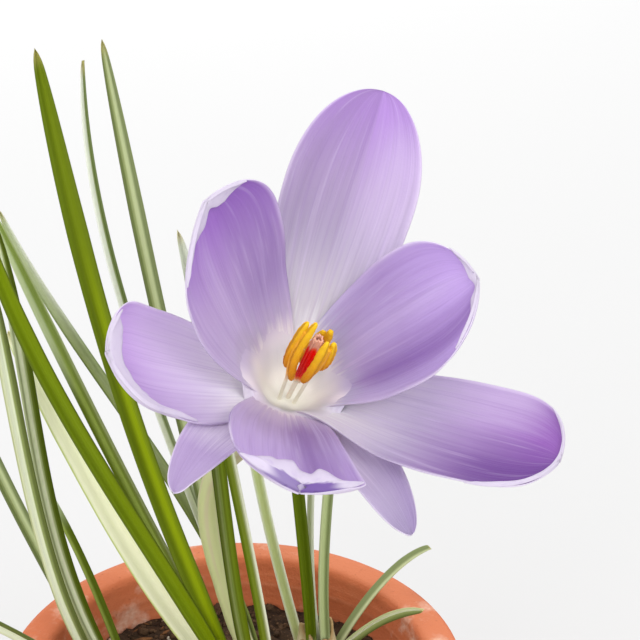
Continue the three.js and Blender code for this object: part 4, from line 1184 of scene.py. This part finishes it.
def add_stigma():
    pile = Pile()
    u, t = np.meshgrid(np.linspace(0, 1, 34), np.linspace(-1, 1, 29), indexing="ij")
    half = mix(0.85, 1.25, smooth(u))
    for k in range(STIGMA_BLADES):
        bearing = 20 + 360 / STIGMA_BLADES * k
        frill = 0.14 * np.cos(3 * np.pi * t) * smooth(u, 0.6, 1)
        frill = frill + 0.05 * np.sin(17 * t + k) * smooth(u, 0.8, 1)
        height = mix(*STIGMA_SPAN, u) + frill - 0.5 * t * t * u
        radius = mix(0.3, 0.6, u) - 0.35 * t * t * half + 0.08 * np.sin(9 * t + 2 * k) * smooth(u, 0.82, 1)
        across = np.cross(AXIS, around(bearing))
        grid = in_group(height, radius, bearing) + across * (t * half * 0.85)[..., None]
        body, faces, _ = thin_body(grid, grid_normals(grid), mix(*STIGMA_THICK, u))
        pile.add(body, faces, np.tile(grid_uv((t + 1) / 2, u), (2, 1)))
    style = in_group(np.linspace(THROAT_FLOOR + STAND, 7, STYLE_RINGS), 0, 0)
    rings = bar(style, GROUP_X, GROUP_Y, STYLE_R, STYLE_SIDES)
    pile.add_rings(rings, ring_uv(STYLE_RINGS, STYLE_SIDES) * np.array([1, 0.01]))
    pile.piece("stigma_fine", [stigma_skin()], "stigma", "stigma")


# ---- leaves --------------------------------------------------------------------------------------
def add_sheath(shoot, sheath, skin):
    """Two overlapping papery layers with torn lips, round the foot of a shoot."""
    foot, z = sheath["foot"], unit(sheath["towards"])
    x = unit(vec(1, 0, 0) - z * z[0])
    angle = circle(SHEATH_SIDES)
    level = np.concatenate([np.linspace(-SHEATH_SINK, 0, 4), np.linspace(0, 1, SHEATH_ROWS)[1:]])[:, None]
    share = np.maximum(level, 0)
    place = np.linspace(0, 1, len(level))[:, None]
    uv = grid_uv(angle / (2 * np.pi), np.concatenate([place, place[::-1]]))
    pile = Pile()
    for layer, (grow, lift) in enumerate([(1.0, 0.72), (0.9, 1.0)]):
        tear = 1 + 0.16 * np.sin(2 * angle + layer) + 0.07 * np.sin(7 * angle + 3 * layer)
        height = np.where(level < 0, level, share * sheath["height"] * lift * tear)
        radius = mix(sheath["outer"], sheath["top"], smooth(share, 0.2, 1)) * grow
        radius = radius * (1 + 0.03 * np.sin(5 * angle + 4 * share + layer))
        outward = radius[..., None] * spokes(x, np.cross(z, x), SHEATH_SIDES)
        grid = foot + outward + height[..., None] * z
        rings = np.concatenate([grid, (grid - unit(outward) * SHEATH_THICK)[::-1]])
        pile.add(rings.reshape(-1, 3), loop_faces(*rings.shape[:2], flip=True), uv)
    pile.piece(f"sheath_{shoot}", [skin], "leaf", f"leaves_{shoot}")


# ---- pot and soil --------------------------------------------------------------------------------
def inner_radius(z):
    return mix(POT_BASE_R, POT_SHOULDER_R + 1, (z - POT_FLOOR) / (POT_HEIGHT - POT_FLOOR)) - POT_WALL + 1


def add_pot():
    rim, mouth = POT_HEIGHT - RIM_HEIGHT, inner_radius(POT_HEIGHT)
    corners = [
        (0.02, 0), (POT_BASE_R - 2, 0), (POT_BASE_R - 0.5, 0.3), (POT_BASE_R, POT_EDGE),
        (mix(POT_BASE_R, POT_SHOULDER_R, 0.5), rim / 2), (POT_SHOULDER_R, rim - 0.6),
        (POT_SHOULDER_R + 0.8, rim - 0.1), (RIM_R - POT_EDGE, rim), (RIM_R - 0.5, rim + 0.5),
        (RIM_R - 0.35, rim + 1.6), (RIM_R, POT_HEIGHT - 1.5), (RIM_R - 0.4, POT_HEIGHT - 0.4),
        (RIM_R - 1.5, POT_HEIGHT), (mouth + 1.5, POT_HEIGHT), (mouth + 0.3, POT_HEIGHT - 0.4),
        (inner_radius(POT_HEIGHT - 1.5), POT_HEIGHT - 1.5), (inner_radius(POT_FLOOR + 4), POT_FLOOR + 4),
        (inner_radius(POT_FLOOR) - 3, POT_FLOOR), (0.02, POT_FLOOR),
    ]
    profile = []
    for (r0, z0), (r1, z1) in zip(corners, corners[1:]):
        steps = max(1, int(np.hypot(r1 - r0, z1 - z0) / POT_STEP))
        profile += [(mix(r0, r1, k / steps), mix(z0, z1, k / steps)) for k in range(steps)]
    profile = np.array(profile + corners[-1:])
    rings = turned(profile, POT_SIDES)
    radius, z = profile[:, :1], profile[:, 1:]
    wobble = (0.14 * np.sin(0.9 * z) + 0.16 * np.sin(2 * circle(POT_SIDES) + 0.05 * z)
              + 0.05 * np.sin(2.3 * z + 1))
    free = smooth(radius, 6, 30) * smooth(z, 0.2, 2.5)
    rings[..., :2] += unit(rings[..., :2] + 1e-9) * (wobble * free)[..., None]
    pot = add_piece("clay_pot", rings.reshape(-1, 3), tube_faces(*rings.shape[:2]), [clay_skin()],
                    "pot")
    bore_drains(pot)


def bore_drains(pot):
    cutters = []
    for k in range(DRAIN_COUNT):
        angle = 2 * np.pi * (k + 0.25) / DRAIN_COUNT
        bpy.ops.mesh.primitive_cylinder_add(
            vertices=40, radius=DRAIN_R * MM, depth=3 * POT_FLOOR * MM,
            location=(DRAIN_RING_R * np.cos(angle) * MM, DRAIN_RING_R * np.sin(angle) * MM, 0))
        cutters.append(bpy.context.object)
        cut = pot.modifiers.new(f"drain_{k}", "BOOLEAN")
        cut.object, cut.operation, cut.solver = cutters[-1], "DIFFERENCE", "EXACT"
    bpy.context.view_layer.update()
    cut_mesh = bpy.data.meshes.new_from_object(pot.evaluated_get(bpy.context.evaluated_depsgraph_get()))
    pot.modifiers.clear()
    pot.data = cut_mesh
    for cutter in cutters:
        bpy.data.objects.remove(cutter)


def soil_height(x, y):
    reach = np.hypot(x, y) / inner_radius(SOIL_LEVEL - SOIL_DOME - SOIL_BUMP)
    lumps = np.sin(0.55 * x + 1.3) * np.cos(0.6 * y - 0.4) + np.sin(0.9 * y - 0.35 * x)
    return SOIL_LEVEL - SOIL_DOME * reach * reach + SOIL_BUMP * 0.5 * lumps


def rough(x, y, scale, seed):
    return np.array([noise.noise(Vector((a * scale, b * scale, seed))) for a, b in zip(x, y)])


def add_soil():
    angle = circle(SOIL_SIDES)
    top = inner_radius(SOIL_LEVEL - SOIL_DOME - SOIL_BUMP) - FIT
    radius = np.linspace(0, 1, SOIL_RINGS + 1)[1:] * top
    x, y = (radius[:, None] * np.cos(angle)).ravel(), (radius[:, None] * np.sin(angle)).ravel()
    z = soil_height(x, y) + 0.9 * rough(x, y, 0.5, 3) + 0.5 * rough(x, y, 1.3, 8)
    points = [np.array([[0, 0, soil_height(0, 0)]]), np.stack([x, y, z], -1)]
    for r, level in ((inner_radius(POT_FLOOR + 3) - 2 * FIT, POT_FLOOR + 3),
                     (inner_radius(POT_FLOOR) - 3 - FIT, POT_FLOOR + FIT)):
        points.append(np.stack([r * np.cos(angle), r * np.sin(angle), np.full(SOIL_SIDES, float(level))], -1))
    faces = [[0, 1 + j, 1 + (j + 1) % SOIL_SIDES] for j in range(SOIL_SIDES)]
    faces += grid_faces(SOIL_RINGS + 2, SOIL_SIDES, 1, closed=True).tolist()
    bottom = 1 + (SOIL_RINGS + 1) * SOIL_SIDES
    faces.append([bottom + j for j in range(SOIL_SIDES)][::-1])
    skin = soil_skin("soil", (38, 27, 20), (66, 48, 34))
    add_piece("soil_body", np.vstack(points), faces, [skin], "soil")
    add_crumbs(top)


def add_crumbs(top):
    """Loose crumbs of earth, bits of bark and a few pale grains, pressed into the surface."""
    corners, triangles = subdivided(*GRAIN)
    pile = Pile()
    while len(pile.points) < CRUMBS:
        r, a = top * np.sqrt(rng.uniform(0, 1)), rng.uniform(0, 2 * np.pi)
        x, y = r * np.cos(a), r * np.sin(a)
        if any(np.hypot(x - s["foot"][0], y - s["foot"][1]) < s["outer"] + 0.6 for s in SHEATHS.values()):
            continue
        size = rng.uniform(0.35, 1.0) * (1.9 if rng.uniform() < 0.12 else 1)
        if r + size > top:
            continue
        kind = rng.choice([0, 1, 2], p=[0.8, 0.15, 0.05])
        shape = unit(corners + rng.normal(0, 0.16, corners.shape))
        shape *= rng.uniform(0.75, 1.15, (len(corners), 1)) * CRUMB_STRETCH[kind] * size
        turn = rng.uniform(0, 2 * np.pi)
        spin = np.array([[np.cos(turn), -np.sin(turn), 0], [np.sin(turn), np.cos(turn), 0], [0, 0, 1]])
        pile.add(shape @ spin.T + np.array([x, y, soil_height(x, y) + 0.25 * size]), triangles, slot=kind)
    skins = [soil_skin("crumb", (44, 31, 22), (84, 62, 44)), soil_skin("bark", (70, 42, 24), (122, 82, 50)),
             soil_skin("grit", (168, 158, 140), (206, 198, 182))]
    pile.piece("soil_crumbs", skins, "soil", "soil")


# ---- light, floor and camera ---------------------------------------------------------------------
WORLD_STRENGTH, FLOOR_GREY = 1.2, 0.57
LIGHT_TARGET = (0, 0, 0.17)
LIGHTS = [  # place in metres, size and power
    ("key", (0.9, -0.9, 1.1), 0.9, 7.0),
    ("fill", (-0.5, -1.4, 0.6), 1.2, 9.0),
    ("back", (-0.2, 1.3, 1.0), 1.2, 10.0),
]
CAMERA_TILT, CAMERA_AWAY, CAMERA_LENS, CAMERA_SENSOR = rad(25), 318, 100, 36
CAMERA_SIDE, CAMERA_UP = 5.7, 12.9


def add_stage():
    bpy.ops.mesh.primitive_plane_add(size=8, location=(0, 0, -0.0002))
    floor = bpy.context.object
    floor.name = "floor"
    floor_colour = (FLOOR_GREY, FLOOR_GREY, FLOOR_GREY, 1)
    floor.data.materials.append(Shader("floor").finish(floor_colour, 0.9, specular_ior_level=0.0))
    world = bpy.data.worlds.new("studio")
    world.use_nodes = True
    world.node_tree.nodes["Background"].inputs[0].default_value = (1, 1, 1, 1)
    world.node_tree.nodes["Background"].inputs[1].default_value = WORLD_STRENGTH
    bpy.context.scene.world = world
    for name, place, size, power in LIGHTS:
        light = bpy.data.lights.new(name, "AREA")
        light.shape, light.size, light.energy = "SQUARE", size, power
        lamp = bpy.data.objects.new(name, light)
        lamp.location = place
        lamp.rotation_euler = (Vector(LIGHT_TARGET) - Vector(place)).to_track_quat("-Z", "Y").to_euler()
        lamp.visible_camera = False
        bpy.context.scene.collection.objects.link(lamp)


def add_camera():
    forward = vec(0, np.cos(CAMERA_TILT), -np.sin(CAMERA_TILT))
    upward = vec(0, np.sin(CAMERA_TILT), np.cos(CAMERA_TILT))
    target = THROAT + vec(1, 0, 0) * CAMERA_SIDE + upward * CAMERA_UP
    camera = bpy.data.cameras.new("camera")
    camera.lens, camera.sensor_width = CAMERA_LENS, CAMERA_SENSOR
    camera.clip_start, camera.clip_end = 0.02, 30
    holder = bpy.data.objects.new("camera", camera)
    holder.location = (target - forward * CAMERA_AWAY) * MM
    holder.rotation_mode = "QUATERNION"
    holder.rotation_quaternion = Vector(forward).to_track_quat("-Z", "Y")
    bpy.context.scene.collection.objects.link(holder)
    bpy.context.scene.camera = holder


# ---- build ---------------------------------------------------------------------------------------
for number, (key, form) in enumerate(TEPALS.items()):
    add_tepal(key, form, 1 + 2 * number)
    if key in FOLDS:
        add_fold(key, form, FOLDS[key])
add_throat()
add_bowl()
add_tube()
stamen_skins = [anther_skin(), filament_skin()]
for number, form in enumerate(STAMENS):
    add_stamen(number + 1, form, stamen_skins)
add_stigma()
leaf_skins = {key: leaf_skin(key, stops) for key, stops in LEAF_PAINT.items()}
paper = sheath_skin()
for shoot, leaves in LEAVES.items():
    add_sheath(shoot, SHEATHS[shoot], paper)
    for number, form in enumerate(leaves):
        rings, uv = leaf_rings(form, SHEATHS[shoot])
        add_rings(f"leaf_{shoot}_{number + 1}", rings, leaf_skins[form[6]], f"leaves_{shoot}", uv)
add_pot()
add_soil()
add_stage()
add_camera()
bpy.context.scene.view_settings.view_transform = "Standard"
